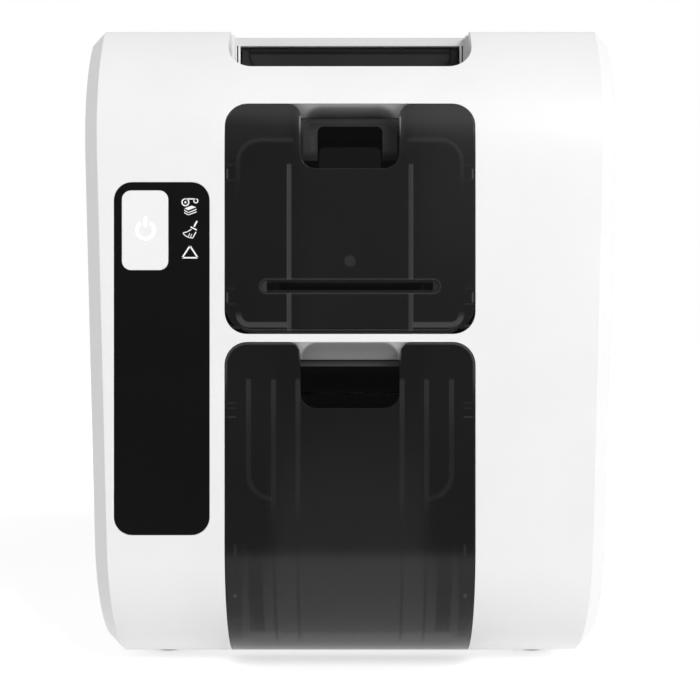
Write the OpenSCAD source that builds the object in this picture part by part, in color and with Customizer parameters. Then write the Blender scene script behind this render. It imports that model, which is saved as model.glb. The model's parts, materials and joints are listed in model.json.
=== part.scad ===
// Desktop printer for plastic id cards: two smoky front doors, a lifting lid,
// a card hopper, a ribbon and thermal head unit, and a tilting exit tray.
// Depths are counted from the front face, heights from the table.

/* [Body] */
// Width of the casing at the top
body_w = 208; // [200:1:224]
// Depth of the casing
body_d = 240; // [236:1:256]
// Height of the top above the table
body_h = 258; // [256:1:266]
// Wall of the plastic shells
wall = 2.5; // [2:0.1:3]
// Inward lean of each side towards the table, in degrees
side_lean = 1.43; // [0.5:0.01:1.6]
// Slanted edge that runs round both sides
edge_chamfer = 5.5; // [4:0.1:6.5]
// Radius of the rolled lower front
bottom_radius = 51.2; // [49:0.1:52]
// Radius of the upper front curve
top_radius = 68; // [64:0.5:72]
// Radius of the crown, where the front meets the top
crown_radius = 10; // [8:0.5:12]
// Angle that the upper front curve turns through
crown_angle = 49; // [46:1:52]
// Radius of the two rear edges
rear_radius = 12; // [10:0.5:14]
// Height of the feet
foot_h = 4; // [3:0.1:5]
// Radius of a foot
foot_r = 7; // [6:0.5:9]

/* [Casing joints] */
// Depth of the front fascia
fascia_d = 52; // [52:0.1:54]
// Height of the base pan
base_h = 10; // [9:0.5:12]
// Height of the lid's skirt
lid_h = 17.4; // [17:0.1:18]
// Distance of the lid's front edge behind the front face
lid_front = 34.6; // [33:0.1:36]
// Distance of the lid's hinge from the rear face
lid_axis_back = 26; // [25:0.5:28]
// Parting line between two shells
seam = 0.4; // [0.3:0.05:0.6]
// Gap round a part that moves
move_gap = 0.3; // [0.3:0.05:0.4]
// Radial play of a shaft in its bore
run_gap = 0.05; // [0.03:0.01:0.08]

/* [Lid pocket and grip] */
// Width of the finger notch under the lid
pocket_w = 96.4; // [92:0.2:98]
// Corner radius of the finger notch
pocket_corner = 9.6; // [8:0.1:10.4]
// Distance from the notch's lower edge to the top of the casing
pocket_drop = 17.6; // [17.6:0.1:19]
// Depth of the pocket's floor below the notch's lower edge
pocket_sink = 8.4; // [7:0.1:9]
// Distance of the pocket's rear wall behind the front face
pocket_d = 45; // [44:0.5:45.5]
// Set-back of the lid's face inside the notch
grip_inset = 4.9; // [4.5:0.1:5.2]
// Height of the grip plate
grip_h = 14; // [12:0.1:15]

/* [Front doors] */
// Width of both doors
door_w = 95.8; // [92:0.2:96]
// Corner radius of both doors
door_corner = 8.5; // [7:0.5:9]
// Thickness of a door's skin
door_skin = 2.2; // [2:0.1:2.6]
// Height of the feeder door's lower edge
feeder_low = 135.8; // [135:0.1:136.5]
// Height of the feeder door's upper edge
feeder_high = 224.2; // [222:0.1:225]
// Height of the output door's upper edge
output_high = 132.1; // [131:0.1:132.5]
// Width of the finger notch in a door
notch_w = 38.1; // [34:0.1:40]
// Depth of the finger notch in a door
notch_h = 25.1; // [22:0.1:26]
// Radius of the notch's lower corners
notch_corner = 6; // [4:0.5:7]
// Radius of the notch's upper ends, where they meet the door's edge
notch_ear = 4.8; // [4:0.1:5.2]
// Length of the hand-feed slot
slot_w = 63.8; // [58:0.2:66]
// Height of the hand-feed slot
slot_h = 2.9; // [2.5:0.1:3.4]
// Half height of the recess round the slot, and how far it runs past the slot's ends
slot_rim = 2.4; // [2:0.1:3]
// Radius of the hinge barrels
barrel_r = 2.6; // [2.4:0.1:3]
// Radius of the doors' hinge pins
pin_r = 1.1; // [1:0.05:1.3]

/* [Control panel] */
// Width of the black panel
panel_w = 36.8; // [34:0.1:38]
// Height of the black panel
panel_h = 135.6; // [128:0.2:138]
// Centre of the panel, left of the middle
panel_x = 72.3; // [71:0.1:73]
// Height of the panel's lower edge
panel_low = 58.2; // [57:0.2:60]
// Corner radius of the panel
panel_corner = 7; // [5:0.5:8]
// Thickness of the panel
panel_t = 1.4; // [1.2:0.1:1.6]
// Width of the power button
button_w = 17.8; // [15:0.2:18]
// Height of the power button
button_h = 30.6; // [26:0.2:31]
// Travel of the power button
button_travel = 0.8; // [0.5:0.1:0.8]
// Distance of the first indicator below the panel's upper edge
lamp_drop = 9.5; // [9:0.5:11]
// Distance between two indicators
lamp_pitch = 8.85; // [8:0.05:9]
// Radius of an indicator's light guide
lamp_r = 2.5; // [2:0.1:2.6]

/* [Card path] */
// Width of a card
card_w = 54; // [52:0.5:56]
// Height of the card path above the table
path_z = 153; // [152:0.5:154]
// Radius of the driven rollers
roller_r = 7; // [6.5:0.1:7.2]
// Half length of the rollers
roller_half = 28; // [24:0.5:28]
// Radius of the roller shafts
shaft_r = 3; // [2.5:0.1:3.2]
// Radius of the pick roller
pick_r = 8; // [7:0.1:8.5]
// Space between a roller and the one above it
nip = 1; // [0.9:0.1:1.2]
// Radius of the pinch roller on the exit tray
pinch_r = 6; // [5:0.1:6]

/* [Gears and belts] */
// Tooth module of every gear
tooth = 1; // [0.95:0.01:1]
// Teeth on the feed gear and the platen gear
roller_teeth = 24; // [22:2:24]
// Teeth on the idler gear
idler_teeth = 28; // [26:2:28]
// Teeth on the small pinions
pinion_teeth = 12; // [12:1:13]
// Teeth on the take-up gear
takeup_teeth = 24; // [22:2:24]
// Teeth on the full circle of the tilt sector
sector_teeth = 60; // [58:2:60]
// Width of the gears
gear_w = 5; // [4:0.1:5]
// Clearance between two teeth
backlash = 0.24; // [0.2:0.02:0.32]
// Width of the belts
belt_w = 5; // [4:0.1:5]
// Thickness of the belts
belt_t = 1.4; // [1.2:0.1:1.6]

/* [Ribbon and head] */
// Half width of the ribbon film
film_half = 28.5; // [24:0.5:29]
// Radius of the full supply roll
supply_r = 22; // [18:0.5:22.5]
// Radius of the used ribbon on the take-up core
takeup_r = 12; // [10:0.5:13]
// Outer radius of a ribbon core
core_r = 8; // [7.5:0.1:9]
// Bore radius of a ribbon core
core_bore = 6; // [5.5:0.1:6.2]
// Thickness of the ribbon film
film_t = 0.3; // [0.2:0.05:0.35]
// Radius of the ribbon guide bars
bar_r = 3; // [2.5:0.1:3.2]

/* [Frame] */
// Distance from the middle to the inner face of a frame plate
plate_x = 52; // [51.8:0.1:52.5]
// Thickness of a frame plate
plate_t = 1.5; // [1.2:0.1:1.8]
// Outer radius of a bearing bush
bush_r = 5; // [4.5:0.1:5.5]
// Half width of the square main motor
motor_half = 21; // [19:0.5:21.5]
// Radius of a screw head
screw_r = 3; // [2.5:0.1:3.2]
// Radius of a screw's shank
thread_r = 1.5; // [1.2:0.1:1.8]

/* [Boards and sockets] */
// Thickness of a circuit board
board_t = 1.6; // [1.4:0.1:2]
// Width and height of the fan
fan_w = 40; // [36:1:40]
// Thickness of the fan
fan_t = 10; // [9:0.5:11]
// Bore radius of the power socket
jack_r = 3.2; // [3:0.1:3.4]

/* [Hidden] */
$fn = 48;

// The front face in the model's own frame, whose origin is under the middle
front = -body_d / 2;
// Steps of a rounded corner, and of the long curves of the casing
corner_steps = 10;
curve_steps = 16;
big = 400;
// How far a cut runs past the surface that it opens
past = 1;
// Overlap of a roller's covering with its shaft, which are one piece
fuse = 0.2;

// Casing
crown_z = body_h - crown_radius;
top_curve_z = crown_z - (top_radius - crown_radius) * sin(crown_angle);
crown_d = top_radius - (top_radius - crown_radius) * cos(crown_angle);
half_top = body_w / 2;
floor_z = foot_h + wall;
base_top = foot_h + base_h;
lid_z = body_h - lid_h;
lid_axis_d = body_d - lid_axis_back;
lid_axis_z = lid_z + lid_h / 2;
lid_barrel = lid_h / 2;
rear_d = lid_axis_d + lid_barrel + seam;
back_in = body_d - wall;
pocket_half = pocket_w / 2;
pocket_z = body_h - pocket_drop;
pocket_floor = pocket_z - pocket_sink;
leaf = 2;

// Doors
door_half = door_w / 2;
feeder_axis_d = barrel_r;
feeder_axis_z = feeder_low + barrel_r;
output_axis_d = bottom_radius - 3.2;
output_axis_z = foot_h + 6;
lug_t = 3;
lug_gap = 0.6;
pin_end = door_half + move_gap + lug_gap + lug_t;
// The feeder door's lower corners are rounder than its opening's, so that it clears them as it swings
low_corner = door_corner + 2.8;
slot_z = path_z + 0.8;
notch_half = notch_w / 2;
scoop_half = notch_half + notch_ear;

// Control panel
panel_back = panel_t + 0.1;
button_x = -panel_x - panel_w / 2 + 3.1 + button_w / 2;
button_low = panel_low + panel_h - 3.2 - button_h;
lamp_x = -panel_x + 10.6;
lamp_z = panel_low + panel_h - lamp_drop;
board_d = 9;
board_x0 = -panel_x - panel_w / 2 + 1.2;
board_x1 = -panel_x + panel_w / 2 - 0.1;
board_z0 = panel_low + 4.8;
board_z1 = panel_low + panel_h - 2.8;
switch_d = 5.5;

// Card path
feed_d = 108;
platen_d = feed_d + 32;
pick_d = feed_d - 38;
exit_d = platen_d + 32;
roller_z = path_z - roller_r;
pick_z = path_z - pick_r;
upper_z = path_z + nip + roller_r;
hopper_floor = path_z - 0.6;
guide_half = card_w / 2 + 0.6;
hopper_d = 9;
hopper_back = feed_d - 10;
hopper_top = feeder_high + 0.3;
face_half = door_half - 2.4;
tray_axis_d = body_d - 18;
tray_axis_z = path_z - 3;

// Frame
plate_front = fascia_d + 8;
rear_tie_d = body_d - 40;
plate_back = tray_axis_d + bush_r + 3;
plate_top = lid_z - 2.6;
out_x = plate_x + plate_t;
gear_x = out_x + 1.5;
belt_x = gear_x + gear_w + 1.2;

// Gears: pitch radii, and the places of the ones that mesh
roller_pitch = roller_teeth * tooth / 2;
idler_pitch = idler_teeth * tooth / 2;
pinion_pitch = pinion_teeth * tooth / 2;
takeup_pitch = takeup_teeth * tooth / 2;
sector_pitch = sector_teeth * tooth / 2;
idler_d = (feed_d + platen_d) / 2;
idler_z = roller_z - sqrt(pow(roller_pitch + idler_pitch, 2) - pow((platen_d - feed_d) / 2, 2));
platen_bearing = atan2(roller_z - idler_z, platen_d - idler_d);
feed_bearing = 180 - platen_bearing;
platen_phase = mesh_phase(platen_bearing, 0, idler_teeth, roller_teeth);
feed_phase = mesh_phase(feed_bearing, 0, idler_teeth, roller_teeth);
motor_d = platen_d + 10;
motor_z = 70;
motor_pulley_r = 6;
idler_pulley_r = 12;
pick_pulley_r = 6;

// Ribbon
supply_d = platen_d + 50;
supply_z = path_z + 59;
takeup_d = feed_d + 16;
takeup_z = path_z + 69;
takeup_bearing = -60;
takeup_reach = takeup_pitch + pinion_pitch;
pinion_d = takeup_d + takeup_reach * cos(takeup_bearing);
pinion_z = takeup_z + takeup_reach * sin(takeup_bearing);
pinion_phase = mesh_phase(takeup_bearing, 0, takeup_teeth, pinion_teeth);
hub_r = core_bore - 0.1;
bar_gap = 0.1;
front_bar = [feed_d + 14, path_z + 5];
rear_bar = [platen_d + 16, path_z + 8];
head_d = platen_d + 1;
head_low = path_z + 1.3;
small_motor_r = 12;

// Head and exit tray
head_axis_d = tray_axis_d - 17;
head_axis_z = path_z + 19;
bridge_z = path_z + 23;
tilt_bearing = 250;
tilt_reach = sector_pitch + pinion_pitch;
tilt_d = tray_axis_d + tilt_reach * cos(tilt_bearing);
tilt_z = tray_axis_z + tilt_reach * sin(tilt_bearing);
sector_phase = tilt_bearing;
tilt_phase = mesh_phase(tilt_bearing, sector_phase, sector_teeth, pinion_teeth);

// Rear face
SCREW_Z = [70, 226];
case_screw_x = half_top - 18;
FOOT_D = [fascia_d + 16, body_d - 18];
DECK_D = [plate_front + 10, rear_tie_d];
socket_z = 31;
// Depth at which each socket's own pieces are counted from, on the rear board
rear_board_d = body_d - 26;
// Middles of the power, printer and network sockets
jack_x = -half_top + 20;
usb_x = jack_x + 18;
net_x = jack_x + 36;
fan_x = out_x + 1.5 + fan_w / 2;
fan_z = 190;
fan_front = back_in - fan_t - 0.4;

// Colours
WHITE = "whitesmoke";
BLACK = [0.07, 0.07, 0.075];
SMOKE = [0.16, 0.16, 0.165];
STEEL = [0.72, 0.73, 0.75];
RUBBER = [0.12, 0.12, 0.12];
GREY = [0.45, 0.46, 0.48];
GREEN = [0.05, 0.32, 0.18];
IVORY = [0.9, 0.88, 0.82];
RIBBON = [0.55, 0.35, 0.12];

// ---- Functions ----

// Half width of the casing at a height, for a surface set in by an amount
function half_at(z, inset = 0) = half_top - (body_h - z) * tan(side_lean) - inset;

// Points of an arc in plane axes; the angle runs from a to b, and the first points may be left out
function arc(cx, cy, r, a, b, steps, first = 0) =
    [for (i = [first:steps]) [cx + r * cos(a + (b - a) * i / steps), cy + r * sin(a + (b - a) * i / steps)]];

// Side outline of the casing in depth and height, set in by an amount
function profile(inset = 0) = concat(
    arc(bottom_radius, foot_h + bottom_radius, bottom_radius - inset, 270, 180, curve_steps),
    arc(top_radius, top_curve_z, top_radius - inset, 180, 180 - crown_angle, curve_steps / 2),
    arc(crown_d, crown_z, crown_radius - inset, 180 - crown_angle, 90, curve_steps / 2, 1),
    arc(body_d - rear_radius, body_h - rear_radius, rear_radius - inset, 90, 0, curve_steps / 2),
    arc(body_d - rear_radius, foot_h + rear_radius, rear_radius - inset, 0, -90, curve_steps / 2));

// Outline of a rectangle with one radius at its lower corners and one at its upper corners
function round_points(x0, x1, y0, y1, low, high) = concat(
    arc(x0 + low, y0 + low, low, 270, 180, corner_steps),
    arc(x0 + high, y1 - high, high, 180, 90, corner_steps),
    arc(x1 - high, y1 - high, high, 90, 0, corner_steps),
    arc(x1 - low, y0 + low, low, 0, -90, corner_steps));

// Angle that an involute has rolled through at a pressure angle
function involute(a) = tan(a) * 180 / PI - a;

// Half the angle that a tooth fills at radius r, for a gear of n teeth
function tooth_half(n, r) = let (p = n * tooth / 2, b = p * cos(20))
    90 / n - backlash / 2 / p * 180 / PI + involute(20) - involute(acos(min(1, b / r)));

// Outline of a gear with n teeth
function gear_points(n, phase) = let (p = n * tooth / 2, tip = p + 0.85 * tooth, root = p - 1.15 * tooth)
    [for (i = [0:n - 1]) for (s = [-1, 1]) for (k = [0:2])
        let (r = s < 0 ? [root, p, tip][k] : [tip, p, root][k])
        let (a = phase + 360 / n * i + s * tooth_half(n, r)) [r * cos(a), r * sin(a)]];

// Angle of the first tooth of gear b, in mesh with gear a that lies at the given bearing from b
function mesh_phase(bearing, phase_a, n_a, n_b) =
    bearing + 180 - 360 / n_b * (0.5 - (bearing - phase_a) * n_a / 360);

// Outline of an open belt that runs outside two pulleys
function belt_points(a, ra, b, rb) =
    let (v = b - a, bearing = atan2(v[1], v[0]), lean = acos((ra - rb) / norm(v)))
    concat(arc(a[0], a[1], ra, bearing + lean, bearing + 360 - lean, 2 * curve_steps),
        arc(b[0], b[1], rb, bearing - lean, bearing + lean, 2 * curve_steps));

// ---- Helpers: x is across, d is depth from the front face, z is height ----

module across(x0, x1) {
    translate([x0, front, 0])
        rotate([90, 0, 90])
            linear_extrude(x1 - x0)
                children();
}

module facing(d0, d1) {
    translate([0, front + d1, 0])
        rotate([90, 0, 0])
            linear_extrude(d1 - d0)
                children();
}

module block(x0, x1, d0, d1, z0, z1) {
    translate([x0, front + d0, z0])
        cube([x1 - x0, d1 - d0, z1 - z0]);
}

// The same block on both sides
module both(x0, x1, d0, d1, z0, z1) {
    block(x0, x1, d0, d1, z0, z1);
    block(-x1, -x0, d0, d1, z0, z1);
}

module rod(x0, x1, d, z, r) {
    translate([x0, front + d, z])
        rotate([0, 90, 0])
            cylinder(h = x1 - x0, r = r);
}

module both_rods(x0, x1, d, z, r) {
    rod(x0, x1, d, z, r);
    rod(-x1, -x0, d, z, r);
}

module peg(x, z, d0, d1, r) {
    translate([x, front + d1, z])
        rotate([90, 0, 0])
            cylinder(h = d1 - d0, r = r);
}

module post(x, d, z0, z1, r) {
    translate([x, front + d, z0])
        cylinder(h = z1 - z0, r = r);
}

module round_plate(x0, x1, z0, z1, low, high, d0, d1) {
    facing(d0, d1)
        polygon(round_points(x0, x1, z0, z1, low, high));
}

module gear(n, phase, x0, x1, d, z) {
    across(x0, x1)
        translate([d, z])
            polygon(gear_points(n, phase));
}

// The casing as one closed form, set in from the outside by an amount
module body_form(inset = 0) {
    edge = edge_chamfer - inset * (2 - sqrt(2));
    full = profile(inset);
    less = profile(inset + edge);
    n = len(full);
    rings = [
        for (p = less) [-half_at(p[1], inset), front + p[0], p[1]],
        for (p = full) [-half_at(p[1], inset + edge), front + p[0], p[1]],
        for (p = full) [half_at(p[1], inset + edge), front + p[0], p[1]],
        for (p = less) [half_at(p[1], inset), front + p[0], p[1]]
    ];
    sides = [for (k = [0:2]) for (i = [0:n - 1])
        [k * n + (i + 1) % n, (k + 1) * n + (i + 1) % n, (k + 1) * n + i, k * n + i]];
    ends = [[for (i = [n - 1:-1:0]) i], [for (i = [0:n - 1]) 3 * n + i]];
    polyhedron(points = rings, faces = concat(sides, ends), convexity = 4);
}

// ---- Casing ----

module door_opening(low, high, low_corner) {
    round_plate(-door_half - move_gap, door_half + move_gap, low - move_gap, high + move_gap,
        low_corner, door_corner + move_gap, -past, 9);
}

module fascia_region() {
    translate([-past, 0])
        square([fascia_d + past, lid_z - seam]);
    translate([-past, 0])
        square([lid_front - seam + past, body_h + past]);
}

module pocket_walls() {
    both(pocket_half, pocket_half + leaf, 0, lid_front - seam, pocket_floor - leaf, body_h);
    both(pocket_half, pocket_half + leaf, 0, pocket_d + leaf, pocket_floor - leaf, lid_z - seam);
    block(-pocket_half, pocket_half, 0, pocket_d + leaf, pocket_floor - leaf, pocket_floor);
    block(-pocket_half, pocket_half, pocket_d, pocket_d + leaf, pocket_floor, lid_z - seam);
}

// Finger notch whose upper ends flare out into the door's upper edge, set in from the door by a gap
function notch_points(high, gap = 0) = let (r = notch_ear + gap, c = notch_corner - gap) concat(
    [[-scoop_half, high + 2 * past]],
    arc(-scoop_half, high - notch_ear, r, 90, 0, corner_steps),
    arc(-notch_half + notch_corner, high - notch_h + notch_corner, c, 180, 270, corner_steps),
    arc(notch_half - notch_corner, high - notch_h + notch_corner, c, 270, 360, corner_steps),
    arc(scoop_half, high - notch_ear, r, 180, 90, corner_steps),
    [[scoop_half, high + 2 * past]]);

// A sloping surface behind a door's upper edge; in the door's own depth it keeps to the notch
module finger_scoop(high, door_back, points) {
    intersection() {
        across(-scoop_half, scoop_half)
            polygon(points);
        union() {
            facing(-past, door_back)
                polygon(notch_points(high, move_gap));
            block(-scoop_half, scoop_half, door_back, fascia_d, high - notch_h, high + notch_h);
        }
    }
}

// The surfaces that lead a finger into each door's notch
module finger_scoops() {
    skin_d = top_radius - sqrt(pow(top_radius, 2) - pow(feeder_high + move_gap - top_curve_z, 2));
    finger_scoop(feeder_high, skin_d + door_skin + move_gap,
        [[skin_d + 0.4, feeder_high + move_gap + 1], [skin_d + 0.4, feeder_high + move_gap],
        [16, feeder_high - 3], [18, feeder_high - 3], [18, feeder_high + move_gap + 1]]);
    finger_scoop(output_high, door_skin + move_gap,
        [[0.6, output_high + move_gap + 1], [0.6, output_high + move_gap],
        [7, output_high - 6.6], [9, output_high - 6.6], [9, output_high + move_gap + 1]]);
}

// Ears on the fascia that hold the hinge pins of a door
module hinge_lugs(d0, d1, z0, z1) {
    both(door_half + move_gap + lug_gap, pin_end, d0, d1, z0, z1);
}

module front_fascia() {
    color(WHITE)
        intersection() {
            body_form();
            difference() {
                union() {
                    difference() {
                        across(-big, big)
                            fascia_region();
                        body_form(wall);
                        door_opening(feeder_low, feeder_high, door_corner);
                        round_plate(-door_half - move_gap, door_half + move_gap, -past, output_high + move_gap,
                            0.1, door_corner + move_gap, -past, fascia_d + past);
                    }
                    pocket_walls();
                    finger_scoops();
                    block(-pin_end, pin_end, wall / 2, 12, output_high + move_gap, feeder_low - move_gap);
                    block(-pocket_half, pocket_half, 10, 20, feeder_high + move_gap, pocket_floor - leaf + 0.5);
                    hinge_lugs(wall / 2, 8, feeder_low - move_gap, feeder_axis_z + barrel_r);
                    hinge_lugs(output_axis_d - 5, fascia_d, foot_h, output_axis_z + 5);
                    for (p = [[board_x1 - 3, board_z1 - 3], [board_x1 - 3, board_z0 + 3],
                        [board_x0 + 2.5, board_z0 + 3], [board_x0 + 2.5, board_z0 + 87]])
                        peg(p[0], p[1], wall / 2, board_d, 2.6);
                }
                round_plate(-pocket_half, pocket_half, pocket_z, body_h + 20, pocket_corner, 1,
                    -past, lid_front);
                rod(-pin_end, pin_end, feeder_axis_d, feeder_axis_z, pin_r);
                rod(-pin_end, pin_end, output_axis_d, output_axis_z, pin_r);
                panel_cut(0);
                button_cut(move_gap);
                for (i = [0:2])
                    peg(lamp_x, lamp_z - i * lamp_pitch, -past, wall + past, lamp_r + 0.1);
            }
        }
}

module panel_cut(gap) {
    round_plate(-panel_x - panel_w / 2 - gap, -panel_x + panel_w / 2 + gap, panel_low - gap,
        panel_low + panel_h + gap, panel_corner, panel_corner, -past, panel_back);
}

module button_cut(gap) {
    round_plate(button_x - button_w / 2 - gap, button_x + button_w / 2 + gap, button_low - gap,
        button_low + button_h + gap, 3.8, 3.8, -past, wall + past);
}

// One side panel as a leaning plate, with a turned edge round its inside
module side_panel(side) {
    z0 = base_top + seam;
    z1 = lid_z - seam;
    d0 = fascia_d + seam;
    d1 = rear_d - seam;
    mirror([side < 0 ? 1 : 0, 0, 0]) {
        facing(d0, d1)
            polygon([[half_at(z0), z0], [half_at(z1), z1], [half_at(z1, wall), z1], [half_at(z0, wall), z0]]);
        facing(d0 + 1, d0 + 1 + leaf)
            polygon([[half_at(z0, wall - 0.5), z0], [half_at(z1, wall - 0.5), z1],
                [half_at(z1, wall + 5), z1], [half_at(z0, wall + 5), z0]]);
        facing(d1 - 1 - leaf, d1 - 1)
            polygon([[half_at(z0, wall - 0.5), z0], [half_at(z1, wall - 0.5), z1],
                [half_at(z1, wall + 5), z1], [half_at(z0, wall + 5), z0]]);
    }
}

module left_side_panel() {
    color(WHITE)
        side_panel(-1);
}

module right_side_panel() {
    color(WHITE)
        difference() {
            side_panel(1);
            for (i = [0:8])
                block(half_at(body_h) - 20, half_at(body_h) + 20, 120 + i * 8, 123 + i * 8, 40, 72);
        }
}

module rear_panel() {
    color(WHITE)
        difference() {
            intersection() {
                body_form();
                union() {
                    difference() {
                        block(-big, big, rear_d, body_d + past, base_top + seam, body_h + past);
                        body_form(wall);
                    }
                    block(-half_at(body_h, wall), half_at(body_h, wall), rear_d, rear_d + leaf,
                        lid_z - seam, body_h);
                    for (side = [-1, 1])
                        for (z = SCREW_Z)
                            peg(side * case_screw_x, z, back_in - 10, back_in + 1, 4);
                }
            }
            for (side = [-1, 1])
                for (z = SCREW_Z) {
                    peg(side * case_screw_x, z, back_in - 11, body_d + past, thread_r + 0.1);
                    peg(side * case_screw_x, z, body_d - 1.8, body_d + past, screw_r + 0.3);
                }
            socket_cuts();
            fan_grille();
            round_plate(60, 67, 40, 43.2, 1.5, 1.5, back_in - past, body_d + past);
            for (i = [0:9])
                round_plate(-40 + i * 8, -36.8 + i * 8, 186, 206, 1.5, 1.5, back_in - past, body_d + past);
        }
}

// Openings for the sockets in the rear face
module socket_cuts() {
    peg(jack_x, socket_z + board_t + 6, back_in - past, body_d + past, 5.6);
    round_plate(usb_x - 6.6, usb_x + 6.6, socket_z + board_t - 0.3, socket_z + board_t + 11.6, 0.5, 0.5,
        back_in - past, body_d + past);
    round_plate(net_x - 8.6, net_x + 8.6, socket_z + board_t - 0.3, socket_z + board_t + 14.1, 0.5, 0.5,
        back_in - past, body_d + past);
}

// Rings of slots in front of the fan
module fan_grille() {
    facing(back_in - past, body_d + past)
        translate([fan_x, fan_z])
            difference() {
                union()
                    for (r = [6:5:16])
                        difference() {
                            circle(r = r + 3);
                            circle(r = r);
                        }
                for (a = [45, 135])
                    rotate(a)
                        square([big, 3], center = true);
            }
}

module base_pan() {
    color(WHITE)
        difference() {
            intersection() {
                body_form();
                union() {
                    difference() {
                        block(-big, big, fascia_d + seam, body_d + past, 0, base_top);
                        body_form(wall);
                    }
                    for (side = [-1, 1])
                        for (d = FOOT_D)
                            post(side * 78, d, foot_h, floor_z + 4, 5);
                }
            }
            for (i = [0:6])
                block(-30, 30, 110 + i * 9, 113 + i * 9, foot_h - past, floor_z + past);
            for (side = [-1, 1])
                for (d = FOOT_D)
                    post(side * 78, d, foot_h - past, floor_z + 3, thread_r);
        }
}

module feet() {
    color(RUBBER)
        for (side = [-1, 1])
            for (d = FOOT_D)
                translate([side * 78, front + d, 0])
                    rotate_extrude()
                        polygon([[0, 0], [foot_r - 0.8, 0], [foot_r, 0.8], [foot_r, foot_h], [0, foot_h]]);
}

// Side outline of the lid: a flat skirt that ends in a half round at the hinge
module lid_region(inset) {
    translate([lid_front + inset, lid_z - past * (inset > 0 ? 1 : 0)])
        square([lid_axis_d - lid_front - inset, lid_h + past * (inset > 0 ? 1 : 0)]);
    translate([lid_axis_d, lid_axis_z])
        circle(r = lid_barrel - inset);
}

module top_lid() {
    inner = pocket_half - 1;
    face_d = lid_front + grip_inset;
    grip_half = pocket_half - 2.9;
    knuckle = [plate_x + 4, plate_x + 10];
    color(WHITE)
        difference() {
            intersection() {
                body_form();
                difference() {
                    union() {
                        difference() {
                            across(-big, big)
                                lid_region(0);
                            intersection() {
                                body_form(wall);
                                across(-big, big)
                                    lid_region(wall);
                            }
                        }
                        block(-inner - leaf, inner + leaf, lid_front, face_d + leaf, lid_z, body_h);
                        both(grip_half + 0.6, grip_half + 3.6, face_d, face_d + 9, lid_z + 6, body_h - 1);
                        both_rods(knuckle[0], knuckle[1], lid_axis_d, lid_axis_z, lid_barrel - 1);
                        for (x = [-60, 0, 60])
                            block(x - 0.8, x + 0.8, 62, lid_axis_d - 14, body_h - wall - 4, body_h - 1);
                    }
                    block(-inner, inner, lid_front - past, face_d, lid_z - past, body_h + past);
                    round_plate(-grip_half, grip_half, lid_z - 20, body_h - 3.4, 1, 0.4,
                        face_d - past, face_d + leaf + 0.1);
                    both(plate_x - 0.8, out_x + 0.8, lid_axis_d, lid_axis_d + big, lid_z - past,
                        lid_axis_z + 1.5);
                }
            }
            both_rods(knuckle[0] - past, knuckle[1] + past, lid_axis_d, lid_axis_z, 2.5 + run_gap);
            rod(-grip_half - 3.3, grip_half + 3.3, face_d + 5.5, body_h - 6, pin_r + run_gap);
        }
}

// Pins that the doors and the lid turn on
module hinge_pins() {
    color(STEEL) {
        both_rods(door_half - low_corner - 3, pin_end, feeder_axis_d, feeder_axis_z, pin_r);
        both_rods(door_half - 5, pin_end, output_axis_d, output_axis_z, pin_r);
        rod(-plate_x - 10.5, plate_x + 10.5, lid_axis_d, lid_axis_z, 2.5);
    }
}

// Lever in the lid's face that lets go of the catch
module lid_grip() {
    face_d = lid_front + grip_inset;
    half = pocket_half - 3.2;
    axis_d = face_d + 5.5;
    axis_z = body_h - 6;
    d0 = face_d + leaf + 0.3;
    color(BLACK) {
        round_plate(-half + 0.3, half - 0.3, body_h - 3.8 - grip_h, body_h - 3.8, 4, 0.3, d0, d0 + 1.8);
        block(-half + 0.6, half - 0.6, d0 + 1, axis_d + 1.4, axis_z - 1.6, axis_z + 1.6);
        rod(-half - 2.6, half + 2.6, axis_d, axis_z, pin_r);
        both(8, 12, axis_d, 54, axis_z - 4, axis_z);
        both(8, 12, pocket_d + 7, pocket_d + 9, pocket_floor - 2, axis_z - 3);
        both(8, 12, pocket_d + 8, pocket_d + 12, pocket_floor - 2, pocket_floor + 0.4);
    }
}

// Plate on the front tie bar that the grip's hook reaches under
module lid_catch() {
    color(STEEL)
        difference() {
            union() {
                block(-14, 14, pocket_d + 12.3, 74, pocket_floor + 1, pocket_floor + 3);
                block(-14, 14, 65, 71, pocket_floor - 5, pocket_floor + 2);
            }
            rod(-20, 20, plate_front + 8, pocket_floor - 2, bar_r);
        }
}

module case_screws() {
    color(STEEL)
        for (side = [-1, 1])
            for (z = SCREW_Z) {
                peg(side * case_screw_x, z, back_in - 9, body_d - 1, thread_r);
                difference() {
                    peg(side * case_screw_x, z, body_d - 1.8, body_d - 0.3, screw_r);
                    for (a = [0, 90])
                        translate([side * case_screw_x, body_d / 2, z])
                            rotate([0, a, 0])
                                cube([3.6, 1.6, 0.8], center = true);
                }
            }
}

// ---- Control panel ----

module control_panel() {
    color(BLACK)
        difference() {
            round_plate(-panel_x - panel_w / 2 + 0.1, -panel_x + panel_w / 2 - 0.1, panel_low + 0.1,
                panel_low + panel_h - 0.1, panel_corner, panel_corner, 0.1, panel_back);
            button_cut(move_gap);
        }
}

module power_button() {
    color(WHITE) {
        round_plate(button_x - button_w / 2, button_x + button_w / 2, button_low, button_low + button_h,
            3.5, 3.5, 0, wall + 0.9);
        block(button_x - button_w / 2 - 0.8, button_x + button_w / 2 + 0.8, wall + 0.3, wall + 1.5,
            button_low + 6, button_low + button_h - 6);
        peg(button_x, button_low + button_h / 2, wall, switch_d - button_travel - 0.3, 2);
    }
}

module light_guides() {
    color(IVORY)
        for (i = [0:2])
            peg(lamp_x, lamp_z - i * lamp_pitch, panel_back, board_d, lamp_r);
}

module front_board() {
    color(GREEN)
        block(board_x0, board_x1, board_d, board_d + board_t, board_z0, board_z1);
    color(GREY) {
        block(button_x - 3, button_x + 3, switch_d + 1, board_d, button_low + button_h / 2 - 3,
            button_low + button_h / 2 + 3);
        peg(button_x, button_low + button_h / 2, switch_d, switch_d + 1, 1.7);
    }
}

// ---- Doors ----

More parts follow.
